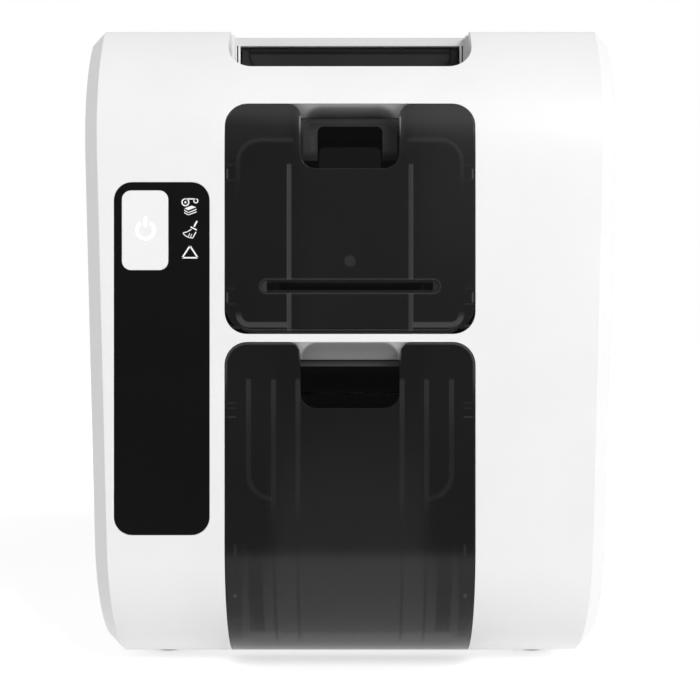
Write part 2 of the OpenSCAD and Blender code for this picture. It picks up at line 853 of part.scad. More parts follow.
module door_outline(low, high, low_corner) {
    difference() {
        polygon(round_points(-door_half, door_half, low, high, low_corner, door_corner));
        polygon(notch_points(high));
    }
}

// A skin that follows the casing's side outline, between two depths below its surface
module skin_band(d0, d1, x0, x1, z0, z1, d_end) {
    across(x0, x1)
        intersection() {
            difference() {
                polygon(profile(d0));
                polygon(profile(d1));
            }
            translate([-past, z0])
                square([d_end + past, z1 - z0]);
        }
}

// Hinge barrel of the feeder door, whose ends are turned to the radius of the door's lower corners
module feeder_barrel() {
    straight = door_half - low_corner;
    ends = [for (i = [0:corner_steps])
        let (r = barrel_r * (1 - i / corner_steps))
        [r, straight + sqrt(pow(low_corner, 2) - pow(low_corner - barrel_r + r, 2))]];
    for (side = [-1, 1])
        translate([0, front + feeder_axis_d, feeder_axis_z])
            rotate([0, side * 90, 0])
                rotate_extrude()
                    polygon(concat([[0, 0], [barrel_r, 0]], ends));
}

module feeder_cover() {
    rim = 1.6;
    ring_half = door_half - 4.1;
    color(SMOKE)
        difference() {
            intersection() {
                facing(-past, 12)
                    door_outline(feeder_low, feeder_high, low_corner);
                union() {
                    skin_band(0, door_skin, -door_half, door_half, feeder_axis_z, feeder_high + past, 20);
                    feeder_barrel();
                    difference() {
                        round_plate(-ring_half, ring_half, feeder_low + 3.2, feeder_high - 14, door_corner,
                            door_corner, 1, 6);
                        round_plate(-ring_half + rim, ring_half - rim, feeder_low + 3.2 + rim,
                            feeder_high - 14 - rim, door_corner - rim, door_corner - rim, 0, 7);
                    }
                    both(22.55, 24.25, 1, 5, feeder_low + 4, slot_z - slot_h);
                    both(22.55, 24.25, 1, 5, slot_z + slot_h, feeder_high - 23.6);
                }
            }
            block(-slot_w / 2, slot_w / 2, -past, 8, slot_z - slot_h / 2, slot_z + slot_h / 2);
            round_plate(-slot_w / 2 - slot_rim, slot_w / 2 + slot_rim, slot_z - slot_rim, slot_z + slot_rim,
                slot_rim - 0.01, slot_rim - 0.01, -past, 0.6);
            rod(-big, big, feeder_axis_d, feeder_axis_z, pin_r + run_gap);
        }
}

module output_cover() {
    end_d = output_axis_d + 1;
    color(SMOKE)
        difference() {
            intersection() {
                facing(-past, fascia_d)
                    door_outline(-20, output_high, 1);
                union() {
                    skin_band(0, door_skin, -door_half, door_half, 0, output_high + past, end_d);
                    skin_band(0.5, 7, door_half - 1.8, door_half, 0, output_high + past, end_d);
                    skin_band(0.5, 7, -door_half, -door_half + 1.8, 0, output_high + past, end_d);
                    for (x = [20, 29.4, 39])
                        for (side = [-1, 1])
                            skin_band(1, 4.6, side * x - 0.8, side * x + 0.8, 0, output_high - 15, end_d);
                    rod(-door_half, door_half, output_axis_d, output_axis_z, barrel_r);
                    both(door_half - 6, door_half, output_axis_d - barrel_r, end_d, foot_h + 1, output_axis_z);
                }
            }
            rod(-big, big, output_axis_d, output_axis_z, pin_r + run_gap);
        }
}

// ---- Cards ----

module input_hopper() {
    color(BLACK)
        difference() {
            union() {
                block(-face_half, face_half, hopper_d, hopper_d + 2, feeder_low + 8, hopper_top);
                block(-guide_half - 2, guide_half + 2, hopper_d, hopper_back, hopper_floor - 2.5, hopper_floor);
                both(guide_half, guide_half + 2, hopper_d, hopper_back, hopper_floor - 2.5, hopper_top);
                block(-guide_half - 2, guide_half + 2, hopper_d + 12, hopper_back, hopper_top - 2, hopper_top);
                block(-plate_x, plate_x, hopper_back - 2.3, hopper_back, hopper_floor - 2.5, hopper_top);
                block(-guide_half / 2, guide_half / 2, hopper_back - 4, hopper_back - 2, path_z + 22, hopper_top - 5);
                block(-guide_half - 1, guide_half + 1, 16.4, 18.4, hopper_top - 20.4, hopper_top - 3.6);
            }
            round_plate(-guide_half, guide_half, hopper_floor, hopper_top - 2, 0.1, 3, 0, hopper_d + 3);
            round_plate(-12.9, 12.9, hopper_top - 26, hopper_top - 6.8, 0.1, 2.5, 12, 20);
            block(-scoop_half - move_gap, scoop_half + move_gap, 0, hopper_d + 3, hopper_top - 4, hopper_top + past);
            block(-14, 14, pick_d - 9.5, pick_d + 9.5, hopper_floor - 5, hopper_floor + past);
            block(-18, 18, hopper_back - 5, hopper_back + past, hopper_floor, path_z + 18);
        }
}

module card_gate() {
    color(STEEL)
        difference() {
            block(-24, 24, hopper_back, hopper_back + 1, path_z + 1.1, path_z + 24);
            both(19, 21, hopper_back - past, hopper_back + 2, path_z + 12, path_z + 20);
        }
}

module card_weight() {
    half = guide_half - 0.4;
    z = path_z + 1.6;
    color(GREY)
        difference() {
            union() {
                block(-half, half, 21, hopper_back - 6, z, z + 7);
                block(-6, 6, 40, 60, z, z + 12);
            }
            block(-half + 4, half - 4, 25, 36, z + 2, z + 9);
            block(-half + 4, half - 4, 64, hopper_back - 10, z + 2, z + 9);
        }
}

module output_bin() {
    half = face_half;
    top = output_high - 7;
    low = 32;
    wall_d = hopper_back + 1.5;
    color(BLACK)
        difference() {
            union() {
                both(half - 1.5, half, 11, wall_d, low, top);
                block(-half, half, 11, wall_d, low, low + 2);
                block(-half, half, 10, wall_d, top - 2.3, top);
                block(-plate_x, plate_x, wall_d - 2, wall_d, low, top);
                both(10, 12, 14, wall_d, low + 1, low + 4);
            }
            block(-card_w / 2 - 3, card_w / 2 + 3, wall_d - 3, wall_d + past, top - 17, top - 7);
        }
}

module exit_chute() {
    p = [hopper_back + 2.2, 109.5];
    q = [147, 124.2];
    t = 1.6;
    color(BLACK) {
        across(-plate_x, plate_x)
            polygon([p, q, q + [0, t], p + [0, t]]);
        for (side = [-1, 1])
            across(side * (guide_half + 1) - 0.8, side * (guide_half + 1) + 0.8)
                polygon([p, q, q + [0, t + 3], p + [0, t + 3]]);
    }
}

// ---- Frame ----

// Places of the turning shafts in a frame plate, each with its bush
BUSHES = [
    [pick_d, pick_z], [feed_d, roller_z], [feed_d, upper_z], [platen_d, roller_z],
    [tray_axis_d, tray_axis_z]
];
HUBS = [[supply_d, supply_z], [takeup_d, takeup_z]];
TIES = [
    [plate_front + 10, 22], [rear_tie_d, 22], [plate_front + 8, pocket_floor - 2],
    [platen_d + 40, 100], [head_axis_d, head_axis_z]
];

module frame_plate(side, holes) {
    ear = lid_axis_d - 10;
    across(side > 0 ? plate_x : -out_x, side > 0 ? out_x : -plate_x)
        difference() {
            union() {
                polygon([[plate_front, floor_z], [plate_back - 16, floor_z], [plate_back - 16, 86],
                    [plate_back, 102], [plate_back, plate_top - 40],
                    [lid_axis_d + 2, plate_top - 10], [lid_axis_d + 2, plate_top], [plate_front + 4, plate_top],
                    [plate_front, plate_top - 4]]);
                polygon([[ear, plate_top - 1], [lid_axis_d, plate_top - 1], [lid_axis_d + 1, lid_axis_z],
                    [lid_axis_d - 3, lid_axis_z + 3], [ear, plate_top + 4]]);
                translate([lid_axis_d, lid_axis_z])
                    circle(r = 5);
            }
            translate([lid_axis_d, lid_axis_z])
                circle(r = 2.5);
            for (p = BUSHES)
                translate(p)
                    circle(r = bush_r);
            for (p = HUBS)
                translate(p)
                    circle(r = shaft_r + run_gap);
            for (p = [front_bar, rear_bar])
                translate(p)
                    circle(r = bar_r);
            for (p = TIES)
                translate(p)
                    circle(r = bar_r);
            for (p = holes)
                translate([p[0], p[1]])
                    circle(r = p[2]);
            translate([100, 60])
                square([26, 34], center = true);
            translate([160, 205])
                circle(r = 9);
        }
    // Turned foot that stands on the base
    block(side > 0 ? plate_x - 10 : -plate_x - 0.2, side > 0 ? plate_x + 0.2 : -plate_x + 10,
        plate_front + 20, plate_back - 30, floor_z, floor_z + plate_t);
}

module left_frame_plate() {
    color(STEEL)
        frame_plate(-1, [[tilt_d, tilt_z, 4]]);
}

module right_frame_plate() {
    color(STEEL)
        frame_plate(1, [[motor_d, motor_z, 11], [pinion_d, pinion_z, 4], [idler_d, idler_z, 3]]);
}

// Rods between the frame plates, with the head's pivot among them
module frame_tie_bars() {
    color(STEEL)
        for (p = TIES)
            rod(-out_x, out_x, p[0], p[1], bar_r);
}

module side_decks() {
    z = plate_top - 2.5;
    edge = half_at(z, wall) - 0.3;
    d0 = fascia_d + seam + 1 + leaf + 0.5;
    d1 = rear_d - seam - 1 - leaf - 0.5;
    color(GREY)
        for (side = [-1, 1])
            mirror([side < 0 ? 1 : 0, 0, 0])
                difference() {
                    union() {
                        block(out_x + 0.3, edge, d0, d1, z, z + 2);
                        block(out_x + 0.3, out_x + 2.3, d0, d1, z - 6, z + 1);
                        block(edge - 2, edge, d0, d1, z - 6, z + 1);
                    }
                    block(out_x - 1, out_x + 8, takeup_d - 18, takeup_d + 18, z - 10, z + 3);
                    block(out_x - 1, out_x + 12, lid_axis_d - 12, lid_axis_d + 20, z - 10, z + 3);
                    for (d = DECK_D)
                        post(78, d, z - past, z + 3, thread_r);
                }
}

module shaft_bushes() {
    color(BLACK)
        for (p = BUSHES)
            for (side = [-1, 1])
                difference() {
                    union() {
                        rod(side > 0 ? plate_x - 0.6 : -out_x, side > 0 ? out_x : -plate_x + 0.6, p[0], p[1], bush_r);
                        rod(side > 0 ? plate_x - 1.4 : -plate_x, side > 0 ? plate_x : -plate_x + 1.4,
                            p[0], p[1], bush_r + 1.5);
                    }
                    rod(-big, big, p[0], p[1], shaft_r + run_gap);
                }
}

module card_guides() {
    low = path_z - 0.8;
    color(BLACK) {
        block(-plate_x, plate_x, feed_d + roller_r + 1.2, platen_d - roller_r - 1.2, low - 2, low);
        both(guide_half, guide_half + 2, feed_d + roller_r + 1.2, platen_d - roller_r - 1.2, low - 1, low + 1.4);
    }
}

// ---- Rollers and drive ----

module roller(d, z, r, x0, x1) {
    color(RUBBER)
        difference() {
            rod(-roller_half, roller_half, d, z, r);
            rod(-roller_half - past, roller_half + past, d, z, shaft_r - fuse);
        }
    color(STEEL)
        rod(x0, x1, d, z, shaft_r);
}

// Toothed wheel of a belt, with a flange on each side
module pulley(r, x0, x1, d, z) {
    rod(x0, x1, d, z, r - 0.3);
    rod(x0, x0 + 0.8, d, z, r + belt_t + 0.4);
    rod(x1 - 0.8, x1, d, z, r + belt_t + 0.4);
}

module belt(a, ra, b, rb, x0, x1) {
    color(RUBBER)
        across(x0, x1)
            difference() {
                polygon(belt_points(a, ra + belt_t, b, rb + belt_t));
                polygon(belt_points(a, ra + 0.1, b, rb + 0.1));
            }
}

module pick_roller() {
    color(RUBBER)
        difference() {
            rod(-10, 10, pick_d, pick_z, pick_r);
            rod(-11, 11, pick_d, pick_z, shaft_r - fuse);
        }
    color(STEEL) {
        rod(-belt_x, out_x + 2, pick_d, pick_z, shaft_r);
        pulley(pick_pulley_r, -belt_x, -gear_x, pick_d, pick_z);
    }
}

module feed_roller() {
    roller(feed_d, roller_z, roller_r, -belt_x, gear_x + 0.5);
    color(GREY)
        pulley(pick_pulley_r, -belt_x, -gear_x, feed_d, roller_z);
}

module pick_belt() {
    belt([pick_d, pick_z], pick_pulley_r, [feed_d, roller_z], pick_pulley_r, -belt_x + 1.1, -gear_x - 1.1);
}

module cleaning_roller() {
    color([0.35, 0.55, 0.75])
        difference() {
            rod(-roller_half, roller_half, feed_d, upper_z, roller_r);
            rod(-roller_half - past, roller_half + past, feed_d, upper_z, shaft_r - fuse);
        }
    color(STEEL)
        rod(-out_x - 1, out_x + 1, feed_d, upper_z, shaft_r);
}

module platen_roller() {
    roller(platen_d, roller_z, roller_r, -out_x - 1, gear_x + 0.5);
}

module shaft_gear(n, phase, d, z) {
    color(IVORY)
        difference() {
            union() {
                gear(n, phase, gear_x, gear_x + gear_w, d, z);
                rod(gear_x + gear_w - 1, gear_x + gear_w + 2, d, z, shaft_r + 2.5);
            }
            rod(0, gear_x + 0.5, d, z, shaft_r);
        }
}

module feed_gear() {
    shaft_gear(roller_teeth, feed_phase, feed_d, roller_z);
}

module platen_gear() {
    shaft_gear(roller_teeth, platen_phase, platen_d, roller_z);
}

// Idler with a wheel for the belt beside its gear, turning on a stub in the frame plate
module idler_gear() {
    color(IVORY)
        difference() {
            union() {
                gear(idler_teeth, 0, gear_x, gear_x + gear_w, idler_d, idler_z);
                pulley(idler_pulley_r, gear_x + gear_w + 0.5, belt_x + belt_w + 1.6, idler_d, idler_z);
                rod(gear_x + 1, belt_x + 2, idler_d, idler_z, idler_pulley_r - 4);
            }
            rod(0, big, idler_d, idler_z, shaft_r + run_gap);
        }
}

module drive_belt() {
    belt([idler_d, idler_z], idler_pulley_r + 0.3, [motor_d, motor_z], motor_pulley_r + 0.3,
        belt_x + 0.9, belt_x + 0.9 + belt_w - 1);
}

module main_motor() {
    x1 = plate_x;
    color(GREY)
        across(x1 - 34, x1)
            translate([motor_d, motor_z])
                difference() {
                    square(2 * motor_half, center = true);
                    for (a = [45:90:315])
                        rotate(a)
                            translate([motor_half * sqrt(2) - 1, -20])
                                square([20, 40]);
                }
    color(STEEL) {
        rod(x1 - 1, x1 + 1.6, motor_d, motor_z, 10.8);
        rod(x1, belt_x + belt_w, motor_d, motor_z, 2.4);
        rod(x1 - 1, belt_x + belt_w + 1, idler_d, idler_z, shaft_r);
    }
}

module motor_pulley() {
    color(STEEL)
        difference() {
            pulley(motor_pulley_r, belt_x - 0.2, belt_x + belt_w + 1.6, motor_d, motor_z);
            rod(0, belt_x + belt_w + 0.05, motor_d, motor_z, 2.4 + run_gap);
        }
}

// ---- Ribbon ----

module ribbon_core(d, z) {
    color(IVORY)
        difference() {
            rod(-film_half - 4, film_half + 4, d, z, core_r);
            rod(-film_half - 5, film_half + 5, d, z, core_bore);
        }
    color(GREY)
        for (side = [-1, 1])
            mirror([side < 0 ? 1 : 0, 0, 0]) {
                rod(film_half - 2, film_half + 5, d, z, hub_r);
                rod(film_half + 4.2, plate_x - 4, d, z, core_bore - 0.5);
            }
}

module ribbon_film(d, z, r) {
    color(RIBBON)
        difference() {
            rod(-film_half, film_half, d, z, r);
            rod(-film_half - 1, film_half + 1, d, z, core_r);
        }
}

module supply_core() {
    ribbon_core(supply_d, supply_z);
    color(STEEL)
        both_rods(plate_x - 4.1, out_x + 2, supply_d, supply_z, shaft_r);
}

module supply_film() {
    ribbon_film(supply_d, supply_z, supply_r);
}

module takeup_core() {
    ribbon_core(takeup_d, takeup_z);
    color(STEEL)
        both_rods(plate_x - 4.1, gear_x + 0.2, takeup_d, takeup_z, shaft_r);
    color(IVORY)
        gear(takeup_teeth, 0, gear_x, gear_x + gear_w, takeup_d, takeup_z);
}

module takeup_film() {
    ribbon_film(takeup_d, takeup_z, takeup_r);
}

// Two like gear motors: one drives the take-up core, the other tilts the exit tray
module gear_motors() {
    color(GREY) {
        rod(plate_x - 14, plate_x, pinion_d, pinion_z, small_motor_r);
        rod(-plate_x, -plate_x + 20, tilt_d, tilt_z, small_motor_r);
    }
    color(STEEL) {
        rod(plate_x - 1, gear_x + gear_w - 1, pinion_d, pinion_z, 2);
        rod(-gear_x - gear_w + 1, -plate_x + 1, tilt_d, tilt_z, 2);
    }
}

module takeup_pinion() {
    color(IVORY)
        difference() {
            gear(pinion_teeth, pinion_phase, gear_x, gear_x + gear_w, pinion_d, pinion_z);
            rod(0, gear_x + gear_w - 0.9, pinion_d, pinion_z, 2 + run_gap);
        }
}

// Points of the film's path at one side of the film: supply, rear bar, head, front bar, take-up.
// The line from circle a to circle b touches both; the side says on which side it passes each.
function tangent_angle(a, ra, b, rb) = let (v = b - a) atan2(v[1], v[0]) + asin((ra - rb) / norm(v));

// Outline of the film between offset "near" on the bars' side and offset "far" on the outer side
function web_side(off) = let (
        r_bar = bar_r + bar_gap + off,
        supply = [supply_d, supply_z],
        takeup = [takeup_d, takeup_z],
        rise = tangent_angle(rear_bar, r_bar, supply, -(supply_r + run_gap + film_t - off)),
        nose = [head_d + 2, head_low - 0.2 - off],
        heel = [head_d - 2, head_low - 0.2 - off],
        rear_line = tangent_angle(nose, 0, rear_bar, r_bar),
        front_line = tangent_angle(front_bar, r_bar, heel, 0),
        climb = tangent_angle(takeup, takeup_r + run_gap + off, front_bar, r_bar))
    concat(
        [supply + (supply_r + run_gap + film_t - off) * [cos(rise + 90), sin(rise + 90)]],
        arc(rear_bar[0], rear_bar[1], r_bar, rise - 90, rear_line - 90, 8),
        [nose, heel],
        arc(front_bar[0], front_bar[1], r_bar, front_line - 90, climb - 90, 8),
        [takeup + (takeup_r + run_gap + off) * [cos(climb - 90), sin(climb - 90)]]);

module ribbon_web() {
    inner = web_side(0);
    outer = web_side(film_t);
    color(RIBBON)
        across(-film_half, film_half)
            polygon(concat(inner, [for (i = [len(outer) - 1:-1:0]) outer[i]]));
}

module guide_bars() {
    color(STEEL)
        for (p = [front_bar, rear_bar])
            rod(-out_x, out_x, p[0], p[1], bar_r);
}

// ---- Print head ----

module head_carrier() {
    color(GREY)
        difference() {
            union() {
                for (side = [-1, 1])
                    across(side * 36 - 1, side * 36 + 1)
                        union() {
                            polygon([[head_d - 13, path_z + 13], [head_d - 13, bridge_z + 2], [head_d + 19, bridge_z + 6],
                                [head_axis_d, head_axis_z + 8], [head_axis_d, head_axis_z - 8],
                                [head_d + 19, path_z + 16], [head_d + 11, path_z + 13]]);
                            translate([head_axis_d, head_axis_z])
                                circle(r = 8);
                        }
                block(-36, 36, head_d - 13, head_d + 11, bridge_z, bridge_z + 2);
                block(-36, 36, head_d - 13, head_d - 11, bridge_z - 8, bridge_z + 1);
            }
            rod(-big, big, head_axis_d, head_axis_z, bar_r + run_gap);
            for (x = [-15, 15])
                post(x, head_d + 4, bridge_z - past, bridge_z + 3, 2);
        }
}

// One helical spring, as a swept wire
module spring(x, d, z0, z1, r, wire, turns) {
    per_turn = 10;
    ring = 6;
    n = turns * per_turn;
    points = [for (i = [0:n]) for (j = [0:ring - 1])
        let (a = 360 * i / per_turn, q = 360 * j / ring, s = r + wire * cos(q))
            [x + s * cos(a), front + d + s * sin(a), z0 + wire + (z1 - z0 - 2 * wire) * i / n + wire * sin(q)]];
    walls = [for (i = [0:n - 1]) for (j = [0:ring - 1])
        [i * ring + j, (i + 1) * ring + j, (i + 1) * ring + (j + 1) % ring, i * ring + (j + 1) % ring]];
    ends = [[for (j = [0:ring - 1]) j], [for (j = [ring - 1:-1:0]) n * ring + j]];
    polyhedron(points = points, faces = concat(walls, ends), convexity = 10);
}

module head_springs() {
    color(STEEL)
        for (x = [-15, 15])
            spring(x, head_d + 4, path_z + 15.1, bridge_z - 0.1, 3, 0.5, 4);
}

module print_head() {
    low = head_low;
    color(GREY) {
        block(-film_half - 1, film_half + 1, head_d - 6, head_d + 8, low + 3.5, path_z + 15);
        for (i = [0:4])
            block(-film_half + 1, film_half - 1, head_d - 9.5, head_d - 5.5, low + 5 + i * 2, low + 6 + i * 2);
        for (x = [-15, 15])
            post(x, head_d + 4, path_z + 14, bridge_z + 4, 1.8);
        for (x = [-15, 15])
            post(x, head_d + 4, bridge_z + 2, bridge_z + 4, 2.8);
    }
    color(IVORY)
        across(-film_half - 1, film_half + 1)
            polygon([[head_d - 2, low], [head_d + 2, low], [head_d + 5, low + 4], [head_d - 5, low + 4]]);
}

// ---- Exit tray ----

module exit_tray() {
    rail = roller_half + 1;
    color(BLACK)
        difference() {
            union() {
                block(-rail - 1, rail + 1, exit_d - 20, tray_axis_d - 2, path_z - 2.5, path_z - 0.6);
                both(rail, rail + 2, exit_d - 22, tray_axis_d, path_z - 10, path_z + 4);
                both(rail, rail + 2, exit_d - 5, exit_d + 5, path_z, path_z + nip + pinch_r + 5);
                both_rods(rail, rail + 2, tray_axis_d, tray_axis_z, 7);
            }
            block(-rail, rail, exit_d - roller_r - 1, exit_d + roller_r + 1, path_z - 5, path_z + 2);
            rod(-big, big, exit_d, roller_z, shaft_r + run_gap);
            rod(-big, big, exit_d, path_z + nip + pinch_r, 2 + run_gap);
            rod(-big, big, tray_axis_d, tray_axis_z, shaft_r);
        }
}

module exit_roller() {
    color(RUBBER)
        difference() {
            rod(-roller_half, roller_half, exit_d, roller_z, roller_r);
            rod(-roller_half - 1, roller_half + 1, exit_d, roller_z, shaft_r - fuse);
        }
    color(STEEL)
        rod(-roller_half - 4, roller_half + 4.5, exit_d, roller_z, shaft_r);
}

module exit_pinch_roller() {
    z = path_z + nip + pinch_r;
    color(RUBBER)
        difference() {
            rod(-roller_half, roller_half, exit_d, z, pinch_r);
            rod(-roller_half - 1, roller_half + 1, exit_d, z, 2 - fuse);
        }
    color(STEEL)
        rod(-roller_half - 4, roller_half + 4, exit_d, z, 2);
}

// Motor that the exit tray carries, on a bracket from its side rail
module exit_motor() {
    x0 = roller_half + 5;
    color(GREY)
        rod(x0, x0 + 15, exit_d, roller_z, 10);
    color(STEEL)
        difference() {
            block(roller_half + 3, x0, exit_d - 9, exit_d + 20, path_z - 14, path_z + 2);
            rod(0, big, exit_d, roller_z, shaft_r + 1);
        }
}

// Toothed sector and the shaft that it turns the tray with
module tilt_sector() {
    color(STEEL)
        rod(-gear_x - gear_w - 1, out_x + 1, tray_axis_d, tray_axis_z, shaft_r);
    color(IVORY)
        difference() {
            union() {
                intersection() {
                    gear(sector_teeth, sector_phase, -gear_x - gear_w, -gear_x, tray_axis_d, tray_axis_z);
                    across(-big, 0)
                        translate([tray_axis_d, tray_axis_z])
                            polygon([[0, 0], for (a = [220:10:265]) 50 * [cos(a), sin(a)]]);
                }
                rod(-gear_x - gear_w, -gear_x, tray_axis_d, tray_axis_z, 7);
            }
            rod(-big, 0, tray_axis_d, tray_axis_z, shaft_r);
        }
}

module tilt_pinion() {
    color(IVORY)
        difference() {
            gear(pinion_teeth, tilt_phase, -gear_x - gear_w, -gear_x, tilt_d, tilt_z);
            rod(-gear_x - gear_w + 0.9, 0, tilt_d, tilt_z, 2 + run_gap);
        }
}

// ---- Electronics ----

module main_board() {
    x = -out_x - 6.5 - board_t;
    board_end = body_d - 55;
    color(GREEN)
        block(x, x + board_t, plate_front + 2, board_end, 20, 128);
    color(STEEL)
        for (d = [plate_front + 6, board_end - 4])
            for (z = [24, 124])
                rod(x + board_t, -out_x, d, z, 2.5);
    color(BLACK) {
        block(x - 1.6, x, 100, 120, 60, 80);
        block(x - 1.2, x, 130, 142, 66, 78);
        block(x - 9, x, 72, 90, 96, 104);
        block(x - 9, x, board_end - 35, board_end - 9, 104, 112);
        block(x - 7, x, board_end - 25, board_end - 7, 30, 40);
    }
    color(STEEL)
        for (z = [34, 48])
            rod(x - 11, x, 80, z, 5);
}

// Power socket, printer socket and network socket on their own board
module rear_sockets() {
    z = socket_z + board_t;
    color(GREEN)
        block(jack_x - 6, net_x + 8, rear_board_d, back_in - 1, socket_z, z);
    color(STEEL)
        for (x = [usb_x - 1, net_x + 2])
            post(x, rear_board_d + 3, floor_z, socket_z, 2.5);
    color(BLACK)
        difference() {
            union() {
                block(jack_x - 5.6, jack_x + 5.6, rear_board_d + 8, back_in - 0.5, z, z + 11.5);
                peg(jack_x, z + 6, rear_board_d + 12, body_d - 0.6, 5.4);
            }
            peg(jack_x, z + 6, rear_board_d + 14, body_d + past, jack_r);
        }
    color(STEEL) {
        peg(jack_x, z + 6, rear_board_d + 13, body_d - 3, 1);
        difference() {
            block(usb_x - 6.2, usb_x + 6.2, rear_board_d + 7, body_d - 0.6, z, z + 11.2);
            block(usb_x - 4.6, usb_x + 4.6, rear_board_d + 12, body_d, z + 1.6, z + 9.6);
        }
        block(usb_x - 2.4, usb_x + 2.4, rear_board_d + 10, body_d - 1.6, z + 4, z + 7.2);
        difference() {
            block(net_x - 8.2, net_x + 8.2, rear_board_d + 3, body_d - 0.6, z, z + 13.6);
            block(net_x - 5.9, net_x + 5.9, rear_board_d + 8, body_d, z + 2.4, z + 9);
            block(net_x - 3, net_x + 3, rear_board_d + 8, body_d, z + 8, z + 11.4);
        }
    }
}

module fan_frame() {
    h = fan_w / 2;
    color(BLACK)
        facing(fan_front, fan_front + fan_t)
            translate([fan_x, fan_z])
                difference() {
                    polygon(round_points(-h, h, -h, h, 2.5, 2.5));
                    circle(r = h - 1.5);
                    for (x = [-h + 4, h - 4])
                        for (z = [-h + 4, h - 4])
                            translate([x, z])
                                circle(r = 1.7);
                }
    color(BLACK) {
        facing(fan_front, fan_front + 1.5)
            translate([fan_x, fan_z])
                for (a = [30, 150, 270])
                    rotate(a)
                        translate([0, -1.5])
                            square([h - 1, 3]);
        peg(fan_x, fan_z, fan_front, fan_front + 2, 9);
        peg(fan_x, fan_z, fan_front + 1, fan_front + 8, 1);
        for (x = [-h + 4, h - 4])
            for (z = [-h + 4, h - 4])
                peg(fan_x + x, fan_z + z, fan_front - 1, back_in, 1.6);
    }
}

module fan_rotor() {
    h = fan_w / 2 - 2.5;
    color(BLACK)
        difference() {
            union() {
                peg(fan_x, fan_z, fan_front + 2.4, fan_front + fan_t - 0.6, 8.5);
                for (a = [0:51.43:359])
                    translate([fan_x, front + fan_front + fan_t / 2 + 1, fan_z])
                        rotate([0, a, 0])
                            translate([h / 2 + 3, 0, 0])
                                rotate([35, 0, 0])
                                    cube([h - 6, 1.2, 8], center = true);
            }
            peg(fan_x, fan_z, fan_front, fan_front + 8.4, 1 + run_gap);
        }
}

front_fascia();
left_side_panel();
right_side_panel();
rear_panel();
base_pan();
feet();
top_lid();
hinge_pins();
lid_grip();
lid_catch();
case_screws();
control_panel();
power_button();
light_guides();
front_board();
feeder_cover();
output_cover();
input_hopper();
card_gate();
card_weight();
output_bin();
exit_chute();
left_frame_plate();
right_frame_plate();
frame_tie_bars();
side_decks();
shaft_bushes();
card_guides();
pick_roller();
feed_roller();
pick_belt();
cleaning_roller();
platen_roller();
feed_gear();
platen_gear();
idler_gear();
drive_belt();
main_motor();
motor_pulley();
supply_core();
supply_film();
takeup_core();
takeup_film();
gear_motors();
takeup_pinion();
ribbon_web();
guide_bars();
head_carrier();
head_springs();
print_head();
exit_tray();
exit_roller();
exit_pinch_roller();
exit_motor();
tilt_sector();
tilt_pinion();
main_board();
rear_sockets();
fan_frame();
fan_rotor();
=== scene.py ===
import json
import math

import bmesh
import bpy
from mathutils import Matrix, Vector

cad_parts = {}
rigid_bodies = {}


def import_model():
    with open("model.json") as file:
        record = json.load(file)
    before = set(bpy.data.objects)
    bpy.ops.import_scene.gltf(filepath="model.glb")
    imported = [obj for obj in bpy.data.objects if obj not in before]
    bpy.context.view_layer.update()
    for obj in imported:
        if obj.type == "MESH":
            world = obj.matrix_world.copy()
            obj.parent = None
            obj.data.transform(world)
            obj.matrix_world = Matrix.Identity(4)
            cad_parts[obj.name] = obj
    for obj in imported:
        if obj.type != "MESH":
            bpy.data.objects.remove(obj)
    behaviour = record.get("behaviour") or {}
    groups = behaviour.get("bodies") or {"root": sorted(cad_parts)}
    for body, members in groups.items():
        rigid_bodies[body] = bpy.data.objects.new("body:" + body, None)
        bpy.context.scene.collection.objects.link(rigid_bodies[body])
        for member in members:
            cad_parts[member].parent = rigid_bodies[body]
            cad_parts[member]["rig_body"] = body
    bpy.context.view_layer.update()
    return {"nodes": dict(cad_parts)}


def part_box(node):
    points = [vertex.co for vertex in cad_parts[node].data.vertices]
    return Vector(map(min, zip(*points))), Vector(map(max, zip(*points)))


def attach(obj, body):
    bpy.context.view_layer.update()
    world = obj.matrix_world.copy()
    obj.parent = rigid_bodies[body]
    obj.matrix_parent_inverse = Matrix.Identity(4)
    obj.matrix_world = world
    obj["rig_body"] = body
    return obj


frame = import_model()
NODES = frame["nodes"]

# ---- Sizes, in millimetres ----

MM = 0.001
BODY_D = 240.0
FRONT = -BODY_D / 2
ACROSS, DEEP, UP = 0, 1, 2


def node_span(node, axis):
    """Lowest and highest coordinate of a CAD node along an axis, in millimetres."""
    low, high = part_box(node)
    return low[axis] / MM, high[axis] / MM


# Half width and corner radius of both doors, their upper edges, and the feeder door's lower edge
DOOR_HALF = node_span("feeder_cover", ACROSS)[1]
DOOR_CORNER = 8.5
FEEDER_LOW, FEEDER_HIGH = node_span("feeder_cover", UP)
OUTPUT_HIGH = node_span("output_cover", UP)[1]
# Finger notch in each door's upper edge: half width, depth, corner radius and flare of its upper ends
NOTCH_HALF = 19.05
NOTCH_H = 25.1
NOTCH_CORNER = 6.0
NOTCH_EAR = 4.8
# Hand-feed slot in the feeder door: its height, half its length and how far the recess runs past it
SLOT_Z = 153.8
SLOT_HALF = 31.9
SLOT_RIM = 2.4
# Faces of the control panel and of the power button, as depths behind the front face
PANEL_D = node_span("control_panel", DEEP)[0] - FRONT
BUTTON_D = node_span("power_button", DEEP)[0] - FRONT


def at(x, d, z):
    """A point in metres, from millimetres: x, depth behind the front face and height above the table."""
    return Vector((x * MM, (FRONT + d) * MM, z * MM))


# ---- Arithmetic on a material's fields ----

# Width over which a painted edge fades, in millimetres
EDGE_SOFT = 0.3


